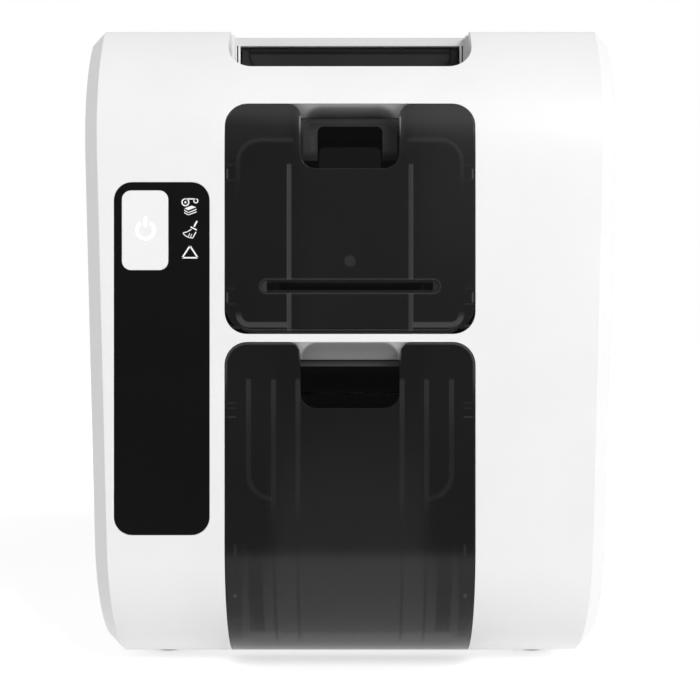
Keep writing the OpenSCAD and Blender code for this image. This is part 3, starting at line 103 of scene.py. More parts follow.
class Field:
    """A number that varies over a surface, for plain arithmetic in a material's node tree."""

    def __init__(self, tree, socket):
        self.tree = tree
        self.socket = socket

    def op(self, operation, *others):
        node = self.tree.nodes.new("ShaderNodeMath")
        node.operation = operation
        for slot, value in enumerate((self, *others)):
            if isinstance(value, Field):
                self.tree.links.new(value.socket, node.inputs[slot])
            else:
                node.inputs[slot].default_value = value
        return Field(self.tree, node.outputs[0])

    def __add__(self, other):
        return self.op("ADD", other)

    def __sub__(self, other):
        return self.op("SUBTRACT", other)

    def __mul__(self, other):
        return self.op("MULTIPLY", other)

    def __abs__(self):
        return self.op("ABSOLUTE")

    def at_least(self, other):
        return self.op("MAXIMUM", other)

    def at_most(self, other):
        return self.op("MINIMUM", other)

    def root(self):
        return self.op("SQRT")

    def flipped(self):
        """1 where the field is 0, and 0 where it is 1."""
        return self * -1.0 + 1.0

    def ramp(self, start, end):
        """0 at start and 1 at end, with a soft start and finish; start may be the larger one."""
        node = self.tree.nodes.new("ShaderNodeMapRange")
        node.interpolation_type = "SMOOTHSTEP"
        rising = start < end
        node.inputs["From Min"].default_value = min(start, end)
        node.inputs["From Max"].default_value = max(start, end)
        node.inputs["To Min"].default_value = 0.0 if rising else 1.0
        node.inputs["To Max"].default_value = 1.0 if rising else 0.0
        self.tree.links.new(self.socket, node.inputs["Value"])
        return Field(self.tree, node.outputs["Result"])

    def between(self, low, high, soft=EDGE_SOFT):
        """1 from low to high, and 0 outside, with edges as wide as soft."""
        return self.ramp(low - soft / 2, low + soft / 2) * self.ramp(high + soft / 2, high - soft / 2)


def object_place(tree):
    """x, y and z of the surface in its object's own units, as fields."""
    coords = tree.nodes.new("ShaderNodeTexCoord")
    split = tree.nodes.new("ShaderNodeSeparateXYZ")
    tree.links.new(coords.outputs["Object"], split.inputs[0])
    return [Field(tree, socket) for socket in split.outputs]


def surface_place(tree):
    """x, depth behind the front face and height of the surface, in millimetres, as fields."""
    x, y, z = (value * (1 / MM) for value in object_place(tree))
    return x, y - FRONT, z


def on_left(x):
    return x.ramp(1.0, -1.0)


def on_right(x):
    return x.ramp(-1.0, 1.0)


def length(across, up):
    """Length of the arrow that goes this far across and up."""
    return (across * across + up * up).root()


def box_distance(x, z, centre_z, half_w, half_h, corner, centre_x=0.0):
    """Signed distance from a rounded rectangle's outline, negative inside."""
    across = abs(x - centre_x) - (half_w - corner)
    up = abs(z - centre_z) - (half_h - corner)
    outside = length(across.at_least(0.0), up.at_least(0.0))
    return outside + across.at_least(up).at_most(0.0) - corner


def notch_distance(x, z, door_high):
    """Signed distance from the outline of the finger notch in a door's upper edge."""
    return box_distance(x, z, door_high, NOTCH_HALF, NOTCH_H, NOTCH_CORNER)


def filled(distance, soft=EDGE_SOFT):
    """1 inside the outline that the distance is measured from, and 0 outside."""
    return distance.ramp(soft / 2, -soft / 2)


def stroke(distance, width, soft=EDGE_SOFT):
    """1 on a line of this width along the outline that the distance is measured from."""
    return filled(abs(distance) - width / 2, soft)


# ---- Colours in a node tree ----

def grey(level):
    return (level, level, level)


def empty_tree(owner):
    """The node tree of a new material or world, cleared."""
    owner.use_nodes = True
    owner.node_tree.nodes.clear()
    return owner.node_tree


def grey_socket(tree, amount):
    """A field as a colour, with the same amount in all its channels."""
    colour = tree.nodes.new("ShaderNodeCombineColor")
    for slot in range(3):
        tree.links.new(amount.socket, colour.inputs[slot])
    return colour.outputs[0]


def blend(tree, factor, low, high):
    """Colour that goes from low to high as the factor goes from 0 to 1."""
    mix = tree.nodes.new("ShaderNodeMix")
    mix.data_type = "RGBA"
    tree.links.new(factor.socket, mix.inputs["Factor"])
    for name, colour in (("A", low), ("B", high)):
        if isinstance(colour, bpy.types.NodeSocket):
            tree.links.new(colour, mix.inputs[name])
        else:
            mix.inputs[name].default_value = (*colour, 1)
    return mix.outputs["Result"]


def lifted(tree, paint, lift):
    """The colour with the same amount of light added to all its channels."""
    mix = tree.nodes.new("ShaderNodeMix")
    mix.data_type = "RGBA"
    mix.blend_type = "ADD"
    mix.inputs["Factor"].default_value = 1.0
    tree.links.new(paint, mix.inputs["A"])
    tree.links.new(grey_socket(tree, lift), mix.inputs["B"])
    return mix.outputs["Result"]


# ---- One finish for all plastics, metals and films ----

# Noise stays mostly between these values, so they are where its ramps start and end
NOISE_LOW, NOISE_HIGH = 0.3, 0.7


def noise(tree, place, size, detail):
    """Soft noise of a size, in features per metre, over the place that a socket gives."""
    node = tree.nodes.new("ShaderNodeTexNoise")
    node.inputs["Scale"].default_value = size
    node.inputs["Detail"].default_value = detail
    tree.links.new(place, node.inputs["Vector"])
    return Field(tree, node.outputs["Fac"])


def surface_normal(tree, grain, bump, depth, edge):
    """Normal with the edges rounded and the grain raised, or None where there is neither."""
    normal = None
    if edge:
        soften = tree.nodes.new("ShaderNodeBevel")
        soften.samples = 4
        soften.inputs["Radius"].default_value = edge
        normal = soften.outputs["Normal"]
    if bump:
        bumps = tree.nodes.new("ShaderNodeBump")
        bumps.inputs["Strength"].default_value = bump
        bumps.inputs["Distance"].default_value = depth
        tree.links.new(grain.socket, bumps.inputs["Height"])
        if normal:
            tree.links.new(normal, bumps.inputs["Normal"])
        normal = bumps.outputs["Normal"]
    return normal


def material(name, colour, rough, variation=0.04, grain=1800.0, bump=0.05, rough_spread=0.06,
             mottle=28.0, specular=0.5, metallic=0.0, stretch=(1.0, 1.0, 1.0), depth=0.0002,
             edge=0.0, marks=None, glow=None, **sockets):
    """A procedural finish: colour that varies softly, uneven roughness, a fine moulded or brushed grain,
    softened edges, marks(tree, x, d, z, colour), which paints what is moulded into the surface and also
    painted light and shade, and glow(x, d, z), a faint glow of the surface's own, painted light that
    stands in for light reaching it through the smoky doors."""
    mat = bpy.data.materials.new(name)
    tree = empty_tree(mat)
    link = tree.links.new
    out = tree.nodes.new("ShaderNodeOutputMaterial")
    shader = tree.nodes.new("ShaderNodeBsdfPrincipled")
    link(shader.outputs["BSDF"], out.inputs["Surface"])
    shader.inputs["Metallic"].default_value = metallic
    shader.inputs["Specular IOR Level"].default_value = specular
    for key, value in sockets.items():
        shader.inputs[key.replace("_", " ")].default_value = value
    coords = tree.nodes.new("ShaderNodeTexCoord")
    scale = tree.nodes.new("ShaderNodeMapping")
    scale.inputs["Scale"].default_value = stretch
    link(coords.outputs["Object"], scale.inputs["Vector"])
    place = scale.outputs["Vector"]
    fine = noise(tree, place, grain, detail=2.0)
    patches = noise(tree, place, mottle, detail=3.0).ramp(NOISE_LOW, NOISE_HIGH)
    darker = [c * (1 - variation) for c in colour]
    lighter = [min(1.0, c * (1 + variation)) for c in colour]
    paint = blend(tree, patches, darker, lighter)
    if marks:
        paint = marks(tree, *surface_place(tree), paint)
    link(paint, shader.inputs["Base Color"])
    if glow:
        link(grey_socket(tree, glow(*surface_place(tree))), shader.inputs["Emission Color"])
        shader.inputs["Emission Strength"].default_value = 1.0
    roughness = fine.ramp(NOISE_LOW, NOISE_HIGH) * (2 * rough_spread) + (rough - rough_spread)
    link(roughness.socket, shader.inputs["Roughness"])
    normal = surface_normal(tree, fine, bump, depth, edge)
    if normal:
        link(normal, shader.inputs["Normal"])
    return mat


# ---- Marks: what is painted on a piece's finish, moulded details and painted light and shade ----
# Places and widths are in millimetres. What scales a mark is the amount of light that it adds or takes away.

def upper_scoop(tree, x, z):
    """Colour of the scoop in the feeder door's notch: a painted highlight at its rim, and painted shade that
    deepens into the dish.
    """
    # It is seen from below, so its dish is stretched upwards to look round from the front
    stretch = 1.75
    centre_z = FEEDER_HIGH - 19.4
    half_w = NOTCH_HALF - 0.3
    half_h = 20
    corner = 8.5
    seen_z = (z - FEEDER_HIGH) * stretch + FEEDER_HIGH
    depth = box_distance(x, seen_z, centre_z, half_w, half_h, corner) * -1.0
    colour = blend(tree, depth.ramp(-0.6, 2.4), grey(0.95), grey(0.3))
    return blend(tree, depth.ramp(1.6, 6.0), colour, grey(0.12))


def lower_scoop(tree, x, z):
    """Colour of the scoop in the output door's notch, all painted shade: a grey dish, darkest just under its
    upper edge, inside a lighter rim.
    """
    centre_z = OUTPUT_HIGH - 20
    half_w = NOTCH_HALF - 0.1
    half_h = 20.2
    corner = 6.5
    rim_soft = 1.4
    dish = filled(box_distance(x, z, centre_z, half_w, half_h, corner), rim_soft)
    upwards = z.ramp(OUTPUT_HIGH - 1.5, OUTPUT_HIGH - 6)
    dish_shade = blend(tree, upwards, (0.19, 0.19, 0.193), (0.27, 0.27, 0.273))
    return blend(tree, dish, grey(0.6), dish_shade)


def scoop_marks(tree, x, d, z, paint):
    """The finger scoops in the fascia, behind the notches of both doors, painted with their light and shade.
    """
    scoop_half = NOTCH_HALF + NOTCH_EAR
    scoop_h = 22
    lap = 0.2
    in_notch = abs(x).ramp(scoop_half + 0.6, scoop_half + 0.3) * d.ramp(0.2, 0.6)
    upper = in_notch * z.between(FEEDER_HIGH - scoop_h, FEEDER_HIGH + lap, lap)
    lower = in_notch * z.between(OUTPUT_HIGH - scoop_h, OUTPUT_HIGH + lap, lap)
    paint = blend(tree, upper, paint, upper_scoop(tree, x, z))
    return blend(tree, lower, paint, lower_scoop(tree, x, z))


def hopper_marks(tree, x, d, z, paint):
    """The card hopper's mouth, a rounded frame behind the notch, with painted light and shade: the legs
    lighter on the right and darker on the left, painted shade at their feet, a painted highlight along
    the top, a painted glint on each leg, and the dish round it lighter towards its top.
    """
    side = abs(x)
    face_near, face_far = 15.5, 16.8
    frame_half = NOTCH_HALF + 5
    dish_low, dish_high = 211.0, 221.5
    legs_high = 216.0
    front_face = d.between(face_near, face_far, 0.4) * side.ramp(frame_half + 1, frame_half)
    mouth = box_distance(x, z, centre_z=200.6, half_w=18.6, half_h=20.1, corner=4.0)
    in_mouth = filled(mouth, 0.6)
    legs = z.ramp(legs_high, dish_low)
    foot = z.ramp(208.6, 205.3)
    face = in_mouth * (legs * (on_right(x) * 0.022 - 0.015) + 0.02) * foot.flipped()
    top_line = stroke(mouth + 0.9, 1.4, 0.8) * z.ramp(215.0, 219.0) * 0.03
    glint = side.between(14.4, 15.3, 0.6) * z.between(208.0, 213.6, 1.0) * (on_left(x) * 0.008 + 0.006)
    dish = z.ramp(dish_low, dish_high)
    outside = in_mouth.flipped() * (dish * dish * 0.13 - 0.02)
    lift = (face + top_line + glint + outside - foot * 0.018) * front_face
    # A little less than the hopper's own colour, so that nothing goes below black
    darkest = -0.0195
    return lifted(tree, paint, lift.at_least(darkest))


# Faint glow that the dark pieces inside give off: painted light, in place of light reaching them
INNER_GLOW = 0.003


def hopper_glow(x, d, z):
    """Painted light: the whole hopper glows faintly, and its rear plate a little more, so that the plate
    stands out from the darkness round it.
    """
    plate = box_distance(x, z, centre_z=208.6, half_w=14.1, half_h=12.2, corner=3.0)
    plate_near, plate_far = 88, 92
    return d.ramp(plate_near, plate_far) * filled(plate, 0.8) * 0.006 + INNER_GLOW


def bin_marks(tree, x, d, z, paint):
    """The card tray's front bar, with a painted highlight where it catches the light below the lower scoop.
    """
    bar_d = 10.4
    bar_z = OUTPUT_HIGH - 9.1
    bar = d.ramp(bar_d + 0.2, bar_d - 0.2) * z.ramp(bar_z - 0.5, bar_z + 0.5)
    return lifted(tree, paint, bar * 0.035)


def grip_marks(tree, x, d, z, paint):
    """Painted shade in the groove that runs round the lid grip's pressing face, and in the one across it."""
    face_d = 42.4
    half_w = 41.6
    across_low, across_high = 251.6, 253.0
    face = d.ramp(face_d + 0.2, face_d - 0.2)
    outline = box_distance(x, z, centre_z=255.2, half_w=half_w, half_h=9.6, corner=5.2)
    across = z.between(across_low, across_high, 0.8) * abs(x).ramp(half_w + 0.4, half_w - 0.4)
    groove = stroke(outline, 0.9, 0.7) + across
    return lifted(tree, paint, face * groove.at_most(1.0) * -0.017)


def lid_marks(tree, x, d, z, paint):
    """The thin parting line beside each end of the grip, and the shaded strip above it."""
    face_near, face_far = 38.6, 40.4
    line_in, line_out = 46.1, 46.7
    line_low, line_high = 244.0, 254.7
    strip_z = 254.5
    face = d.between(face_near, face_far, 0.2)
    line = abs(x).between(line_in, line_out, 0.2) * z.between(line_low, line_high) * face
    paint = blend(tree, z.ramp(strip_z - 0.5, strip_z + 0.5) * face, paint, grey(0.72))
    return blend(tree, line, paint, grey(0.02))


def notch_flanks(x, d, z, door_high, reach, fade_low, fade_high):
    """A painted highlight on the cut edges at the sides of a door's finger notch, which fades downwards."""
    skin_d = 1.7
    bend_x, flank_x = 17.0, 18.5
    edge = notch_distance(x, z, door_high).ramp(reach, 0.35)
    height = z.ramp(door_high - fade_low, door_high - fade_high)
    return edge * height * abs(x).ramp(bend_x, flank_x) * d.ramp(skin_d + 0.2, skin_d - 0.2)


def feeder_painted_light(x, z):
    """Painted light and shade: the feeder door is a little lighter at its upper right, and darker towards
    the left.
    """
    lighter = x.ramp(20.0, 36.0) * z.ramp(140.0, 190.0)
    darker = x.ramp(-14.0, -24.0)
    return lighter * 0.0045 - darker * 0.0025


def feeder_ring(x, z):
    """The ring behind the feeder door, which shows near its upper corners, and the margin outside it."""
    side = abs(x)
    high, low = 210.0, 138.9
    half_w = 43.0
    ring = box_distance(x, z, (high + low) / 2, half_w, (high - low) / 2, DOOR_CORNER)
    line = stroke(ring, 1.5, 1.2) * side.ramp(21.5, 22.5) * z.ramp(186, 206)
    margin = ring.ramp(-0.6, 0.2) * z.ramp(198, 214) * side.ramp(20, 26)
    return line * 0.011 + margin * 0.006


def feeder_ribs(x, z, slot):
    """One rib a side, broken by the slot, with painted light: lighter on the left, and a painted highlight
    along its outer edge.
    """
    side = abs(x)
    rib_in, rib_out = 22.5, 24.25
    rib_low, rib_high = FEEDER_LOW + 0.6, 200.8
    ribs = side.between(rib_in, rib_out) * z.between(rib_low, rib_high) * slot.ramp(-0.4, 0.2)
    outer_edge = stroke(side - (rib_out - 0.05), 0.45)
    return ribs * (on_left(x) * 0.007 + 0.028) + outer_edge * ribs * 0.02


def feeder_slot(x, z, slot):
    """The thin light line round the slot's recess, and the pale ends of the recess, a painted highlight that
    is stronger on the left.
    """
    half_w = SLOT_HALF + SLOT_RIM
    recess = box_distance(x, z, SLOT_Z, half_w, SLOT_RIM, SLOT_RIM - 0.02).ramp(0, -0.5)
    ends = recess * abs(x).ramp(SLOT_HALF - 0.5, SLOT_HALF + 0.7) * (on_left(x) * 0.02 + 0.012)
    return stroke(slot, 0.5, 0.4) * 0.022 + ends


def feeder_band(x, z):
    """The pale line along the door's lower edge, which bends up at its corners."""
    width = 2.1
    start_x = 24.3
    fade_low, fade_high = 141.0, 144.5
    band = box_distance(x, z, centre_z=146.8, half_w=42.8, half_h=7.8, corner=4.2)
    outwards = abs(x).ramp(start_x - 0.3, start_x + 0.3)
    return stroke(band, width, 0.6) * outwards * z.ramp(fade_high, fade_low) * 0.045


def feeder_clip(x, z, low):
    """A clip on each side of the feeder door: two fine lines across, and a bright tip between them."""
    side = abs(x)
    high = low + 6.0
    line_in, line_out = 44.0, 47.2
    line_w = 0.5
    tip_in, tip_out = 46.8, 47.4
    lines = side.between(line_in, line_out, 0.4) * (stroke(z - low, line_w) + stroke(z - high, line_w))
    tip = side.between(tip_in, tip_out) * z.between(low + 0.6, low + 4.4, 1.0)
    return lines * 0.012 + tip * 0.05


def feeder_marks(tree, x, d, z, paint):
    """What shows through the feeder door's smoky skin: its ring, ribs, slot rim, gate mark and clips.
    With painted light: lighter at the upper right, a painted highlight on the notch's flanks and a
    painted halo round the notch; and a darker line along the lower edge.
    """
    skin = d.ramp(4.5, 4.0)
    margin = SLOT_RIM + 0.4
    slot = box_distance(x, z, SLOT_Z, SLOT_HALF + margin, margin, SLOT_RIM + 0.38)
    gate_z = 163.5
    gate_mark = length(x, z - gate_z).ramp(2.6, 1.8) * 0.016
    under = z.between(FEEDER_LOW, FEEDER_LOW + 1.9, 0.4) * abs(x).ramp(43.5, 42.0) * 0.01
    lift = feeder_painted_light(x, z) + feeder_ring(x, z) + feeder_ribs(x, z, slot) + feeder_slot(x, z, slot)
    lift = lift + gate_mark + feeder_band(x, z) + feeder_clip(x, z, low=194.5)
    lift = lift + feeder_clip(x, z, low=147.0)
    flanks = notch_flanks(x, d, z, FEEDER_HIGH, reach=0.75, fade_low=14, fade_high=4) * 0.2
    # A faint painted light round the notch, stronger towards its top
    halo = notch_distance(x, z, FEEDER_HIGH).ramp(2.6, 0.4) * z.ramp(202.0, 216.0) * 0.01
    return lifted(tree, paint, (lift - under) * skin + flanks + halo)


def output_ribs(x, z):
    """Three ribs a side, of which the outer one bends inwards at its foot. They fade out downwards."""
    side = abs(x)
    width = 1.9
    inner_x, middle_x, outer_x = 20.0, 29.4, 39.0
    bend = outer_x - middle_x
    ribs = side.between(inner_x - width / 2, inner_x + width / 2)
    ribs = ribs + side.between(middle_x - width / 2, middle_x + width / 2)
    low, high = 16.0, 118.1
    ribs = ribs * z.between(low, high, 0.6)
    outer = box_distance(side, z, centre_z=112.1, half_w=bend, half_h=40.0, corner=bend, centre_x=middle_x)
    outwards = side.ramp(middle_x + 0.2, middle_x + 0.8)
    ribs = ribs + stroke(outer, width) * outwards * z.ramp(high + 0.3, high - 0.3)
    return ribs * (z.ramp(62.0, 76.0) * 0.0075 + z.ramp(94.0, 116.0) * 0.009)


def output_glow(x, d, z):
    """A painted reflection of the table in the door's lower part, broken by sills, grooves and its darker
    margins.
    """
    side = abs(x)
    low, high = 15.0, 60.0
    sill_in, sill_out = 33.6, 39.2
    sill_low, sill_high = 17.8, 55.0
    margin_x = 41.3
    # The margin's edge moves outwards as the skin rolls back, so that it looks straight from the front
    lean = 0.08
    sills = side.between(sill_in, sill_out, 0.6) * z.between(sill_low, sill_high, 1.0)
    margin = (side - d * lean).ramp(margin_x, margin_x + 0.5)
    middle = side.ramp(34.0, 33.0)
    glow = z.ramp(high, low) * (sills * -0.018 + middle * 0.004 - margin * 0.016 + 0.0135)
    sill_edge = z.between(13.3, 17.2, 0.5) * side.ramp(41.0, 40.6) * 0.02
    grooves = (side.between(19.4, 20.6) + side.between(28.5, 29.7)) * z.between(9.0, high, 4.0)
    return (glow + sill_edge) * grooves.flipped()


def output_clips(x, z):
    """A clip with three fine lines across, a short upright dash and two dots on each side."""
    side = abs(x)
    clip_in, clip_out = 43.7, 47.2
    dash_in, dash_out = 43.6, 44.6
    dash_low, dash_high = 50.3, 54.6
    lines = stroke(z - 103.6, 0.6) + (stroke(z - 107.0, 0.5) + stroke(z - 109.0, 0.5)) * 0.6
    dash = side.between(dash_in, dash_out) * z.between(dash_low, dash_high, 0.8)
    lift = side.between(clip_in, clip_out, 0.4) * lines * 0.02 + dash * 0.012
    for dot_x, dot_z, strength in ((44.6, 34.0, 0.03), (44.2, 22.5, 0.015)):
        lift = lift + length(side - dot_x, z - dot_z).ramp(1.1, 0.5) * strength
    return lift


def output_marks(tree, x, d, z, paint):
    """What shows through the output door's smoky skin: its ribs and clips. With painted light: a painted
    highlight along its rim and on the notch's flanks, its middle lighter lower down, and a painted
    reflection of the table in its lower part.
    """
    centre_z = 40.0
    edge = box_distance(x, z, centre_z, DOOR_HALF, OUTPUT_HIGH - centre_z, DOOR_CORNER)
    rim = edge.ramp(-1.0, -0.3) * z.ramp(108, 124) * 0.05
    middle = abs(x).ramp(34.0, 24.0) * (z.ramp(120.0, 60.0) * 0.0085 - 0.0015)
    flanks = notch_flanks(x, d, z, OUTPUT_HIGH, reach=0.7, fade_low=8, fade_high=1) * 0.18
    lift = rim + middle + output_ribs(x, z) + output_glow(x, d, z) + output_clips(x, z) + flanks
    return lifted(tree, paint, lift)


# ---- Materials ----

WHITE = (0.843, 0.843, 0.845)
INNER_BLACK = (0.02, 0.02, 0.022)
WHITE_LIGHT = (1, 1, 1, 1)
# Streaks of a grain drawn out along x, and along z
ALONG_X = (0.05, 1, 1)
ALONG_Z = (1, 1, 0.04)
CASING = {"rough": 0.34, "variation": 0.012, "grain": 2600, "bump": 0.035, "edge": 0.0004}
INNER = {"rough": 0.5, "grain": 1600, "specular": 0.3, "edge": 0.0003}
SMOKY = {"variation": 0.08, "grain": 2600, "bump": 0.01, "rough_spread": 0.03, "edge": 0.0005, "Alpha": 0.93}
# The dark inner plastics give off a faint glow, painted light
DIM = {"Emission_Color": WHITE_LIGHT, "Emission_Strength": INNER_GLOW}

FINISHES = {
    # Plastics of the casing
    "white": material("white_plastic", WHITE, **CASING),
    "lid": material("lid_plastic", WHITE, marks=lid_marks, **CASING),
    "fascia": material("fascia_plastic", WHITE, marks=scoop_marks, **CASING),
    "button": material("button_plastic", (0.865, 0.865, 0.867), 0.3, variation=0.01, grain=2600, bump=0.02,
                       edge=0.0005),
    "grip": material("grip_plastic", (0.021, 0.021, 0.022), 0.45, variation=0.08, grain=2200, bump=0.1,
                     specular=0.12, edge=0.0004, marks=grip_marks),
    "panel": material("panel_film", (0.004, 0.004, 0.0044), 0.36, variation=0.1, grain=3200, bump=0.03,
                      specular=0.12),
    "feeder": material("smoky_feeder_door", (0.008, 0.008, 0.0085), 0.16, specular=0.45, marks=feeder_marks,
                       **SMOKY),
    "output": material("smoky_output_door", (0.0082, 0.0082, 0.0082), 0.2, specular=0.28,
                       marks=output_marks, **SMOKY),
    # Other plastics, rubbers and films
    "hidden": material("inner_plastic", INNER_BLACK, variation=0.15, bump=0.15, **INNER, **DIM),
    "hopper": material("hopper_plastic", INNER_BLACK, variation=0.1, bump=0.12, marks=hopper_marks,
                       glow=hopper_glow, **INNER),
    "bin": material("tray_plastic", INNER_BLACK, variation=0.1, bump=0.12, marks=bin_marks, **INNER, **DIM),
    "grey": material("grey_plastic", (0.2, 0.205, 0.215), 0.5, variation=0.06, grain=1800, bump=0.12,
                     edge=0.0003),
    "rubber": material("black_rubber", (0.018, 0.018, 0.018), 0.75, variation=0.15, grain=1400, bump=0.3,
                       specular=0.3),
    "blue": material("cleaning_rubber", (0.05, 0.17, 0.4), 0.6, variation=0.1, grain=1400, bump=0.2),
    "nylon": material("gear_nylon", (0.78, 0.75, 0.66), 0.45, variation=0.05, grain=1500, bump=0.08),
    "core": material("ribbon_core", (0.72, 0.72, 0.69), 0.5, variation=0.05, grain=1500, bump=0.08),
    "ribbon": material("ribbon_film", (0.25, 0.14, 0.03), 0.18, variation=0.2, grain=600, bump=0.03,
                       stretch=(1, 0.1, 0.1)),
    "guide": material("light_guide", (0.82, 0.85, 0.87), 0.12, variation=0.02, grain=900, bump=0.01,
                      Transmission_Weight=0.6),
    "board": material("circuit_board", (0.015, 0.12, 0.05), 0.35, variation=0.2, grain=900, bump=0.08,
                      mottle=240.0),
    # Metals
    "steel": material("plated_steel", (0.62, 0.63, 0.65), 0.32, variation=0.08, grain=700, bump=0.05,
                      metallic=1.0, stretch=ALONG_Z),
    "bar": material("ground_bar", (0.68, 0.69, 0.7), 0.2, variation=0.05, grain=900, bump=0.03,
                    metallic=1.0, stretch=ALONG_X),
    "pin": material("blackened_pin", (0.03, 0.03, 0.032), 0.35, variation=0.1, grain=900, bump=0.05,
                    metallic=0.6, stretch=ALONG_X),
    "head": material("machined_alloy", (0.6, 0.61, 0.62), 0.28, variation=0.06, grain=900, bump=0.05,
                     metallic=1.0, stretch=ALONG_X),
    "motor": material("motor_can", (0.11, 0.11, 0.12), 0.4, variation=0.1, grain=1500, bump=0.08,
                      metallic=0.7),
    "socket": material("socket_shell", (0.55, 0.56, 0.57), 0.3, variation=0.08, grain=900, bump=0.04,
                       metallic=1.0),
    # Printed signs
    "ink": material("white_ink", (0.9, 0.9, 0.9), 0.45, variation=0.01, grain=2600, bump=0.02),
    "symbol": material("lit_symbol", (0.92, 0.92, 0.92), 0.4, variation=0.01, grain=2600, bump=0.02,
                       Emission_Color=WHITE_LIGHT, Emission_Strength=0.12),
}

LOOKS = {
    "white": "left_side_panel right_side_panel rear_panel base_pan",
    "lid": "top_lid",
    "fascia": "front_fascia",
    "button": "power_button",
    "panel": "control_panel",
    "grip": "lid_grip",
    "hopper": "input_hopper",
    "bin": "output_bin",
    "hidden": "card_weight exit_chute card_guides exit_tray shaft_bushes fan_frame fan_rotor",
    "grey": "side_decks head_carrier",
    "rubber": "feet feed_roller platen_roller pick_roller exit_roller exit_pinch_roller "
              "pick_belt drive_belt",
    "blue": "cleaning_roller",
    "steel": "left_frame_plate right_frame_plate lid_catch card_gate case_screws head_springs",
    "bar": "frame_tie_bars guide_bars motor_pulley",
    "pin": "hinge_pins",
    "motor": "main_motor gear_motors exit_motor",
    "nylon": "feed_gear platen_gear idler_gear takeup_pinion tilt_pinion tilt_sector",
    "ribbon": "supply_film takeup_film ribbon_web",
    "core": "supply_core takeup_core",
    "guide": "light_guides",
    "board": "front_board main_board",
    "socket": "rear_sockets",
    "head": "print_head",
    "feeder": "feeder_cover",
    "output": "output_cover",
}


# ---- Dressing of the carried-over nodes ----

# Corners closer than this are joined, in metres, and edges sharper than this stay sharp, in degrees
WELD_DISTANCE = 2e-6
SHARP_ANGLE = 24


def smoothing_group(weld_distance, angle_deg):
    """Geometry nodes that weld a mesh and shade it smooth, but for edges sharper than the angle."""
    group = bpy.data.node_groups.new("weld_and_smooth", "GeometryNodeTree")
    group.interface.new_socket("Geometry", in_out="INPUT", socket_type="NodeSocketGeometry")
    group.interface.new_socket("Geometry", in_out="OUTPUT", socket_type="NodeSocketGeometry")
    add = group.nodes.new
    link = group.links.new
    start = add("NodeGroupInput")
    end = add("NodeGroupOutput")
    weld = add("GeometryNodeMergeByDistance")
    weld.inputs["Distance"].default_value = weld_distance
    faces = add("GeometryNodeSetShadeSmooth")
    edges = add("GeometryNodeSetShadeSmooth")
    edges.domain = "EDGE"
    edges.inputs["Shade Smooth"].default_value = False
    angle = add("GeometryNodeInputMeshEdgeAngle")
    test = add("FunctionNodeCompare")
    test.operation = "GREATER_THAN"
    test.inputs["B"].default_value = math.radians(angle_deg)
    link(start.outputs[0], weld.inputs["Geometry"])
    link(weld.outputs["Geometry"], faces.inputs["Geometry"])
    link(faces.outputs["Geometry"], edges.inputs["Geometry"])
    link(angle.outputs["Unsigned Angle"], test.inputs["A"])
    link(test.outputs["Result"], edges.inputs["Selection"])
    link(edges.outputs["Geometry"], end.inputs[0])
    return group


def dress(node, finish, smoothing):
    """Gives a node its material and its smoothing."""
    node.data.materials.clear()
    node.data.materials.append(finish)
    smooth = node.modifiers.new("weld_and_smooth", "NODES")
    smooth.node_group = smoothing


SMOOTHING = smoothing_group(WELD_DISTANCE, SHARP_ANGLE)
for key, names in LOOKS.items():
    for name in names.split():
        dress(NODES[name], FINISHES[key], SMOOTHING)


# ---- Printed signs on the panel and the button ----

def arc(cx, cz, r, start, end, steps):
    """Points on a circle of radius r, from one angle to another in degrees."""
    turn = math.radians(end - start) / steps
    first = math.radians(start)
    angles = [first + turn * i for i in range(steps + 1)]
    return [(cx + r * math.cos(angle), cz + r * math.sin(angle)) for angle in angles]


class Sign:
    """Flat printed shapes in the plane of the front, on one mesh, lifted off the surface by their ink."""

    ROUND_END_STEPS = 8
    RING_STEPS = 48
    # Corners closer than this are one corner, in metres
    SAME_CORNER = 1e-7

    def __init__(self, name, d, thickness=0.05):
        self.name = name
        self.d = d
        self.thickness = thickness
        self.mesh = bmesh.new()

    def outline(self, points):
        """A filled shape inside a closed outline."""
        front = [self.mesh.verts.new(at(x, self.d - self.thickness, z)) for x, z in points]
        back = [self.mesh.verts.new(at(x, self.d, z)) for x, z in points]
        self.mesh.faces.new(front)
        for i, vert in enumerate(front):
            j = (i + 1) % len(front)
            self.mesh.faces.new((vert, back[i], back[j], front[j]))

    def line(self, points, width, closed=False):
        """A stroke of even width along the points, with round ends and joints."""
        half = width / 2
        steps = self.ROUND_END_STEPS
        ends = points[1:] + points[:1] if closed else points[1:]
        for (x0, z0), (x1, z1) in zip(points, ends):
            heading = math.degrees(math.atan2(z1 - z0, x1 - x0))
            far_end = arc(x1, z1, half, heading - 90, heading + 90, steps)
            near_end = arc(x0, z0, half, heading + 90, heading + 270, steps)
            self.outline(far_end + near_end)

    def ring(self, cx, cz, outer, inner, start=0.0, end=360.0):
        """A band between two radii, all round or from one angle to another."""
        steps = self.RING_STEPS
        far = arc(cx, cz, outer, start, end, steps)
        near = arc(cx, cz, inner, start, end, steps)
        for i in range(steps):
            self.outline([near[i], far[i], far[i + 1], near[i + 1]])

    def finish(self, body, key, slot):
        """Makes the object, which rides on a body and holds a finish's material; slot is not used."""
        bmesh.ops.remove_doubles(self.mesh, verts=self.mesh.verts, dist=self.SAME_CORNER)
        bmesh.ops.recalc_face_normals(self.mesh, faces=self.mesh.faces)
        data = bpy.data.meshes.new(self.name)
        self.mesh.to_mesh(data)
        self.mesh.free()
        data.materials.append(FINISHES[key])
        piece = bpy.data.objects.new(self.name, data)
        bpy.context.scene.collection.objects.link(piece)
        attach(piece, body)


def body_of(node):
    return NODES[node]["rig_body"]


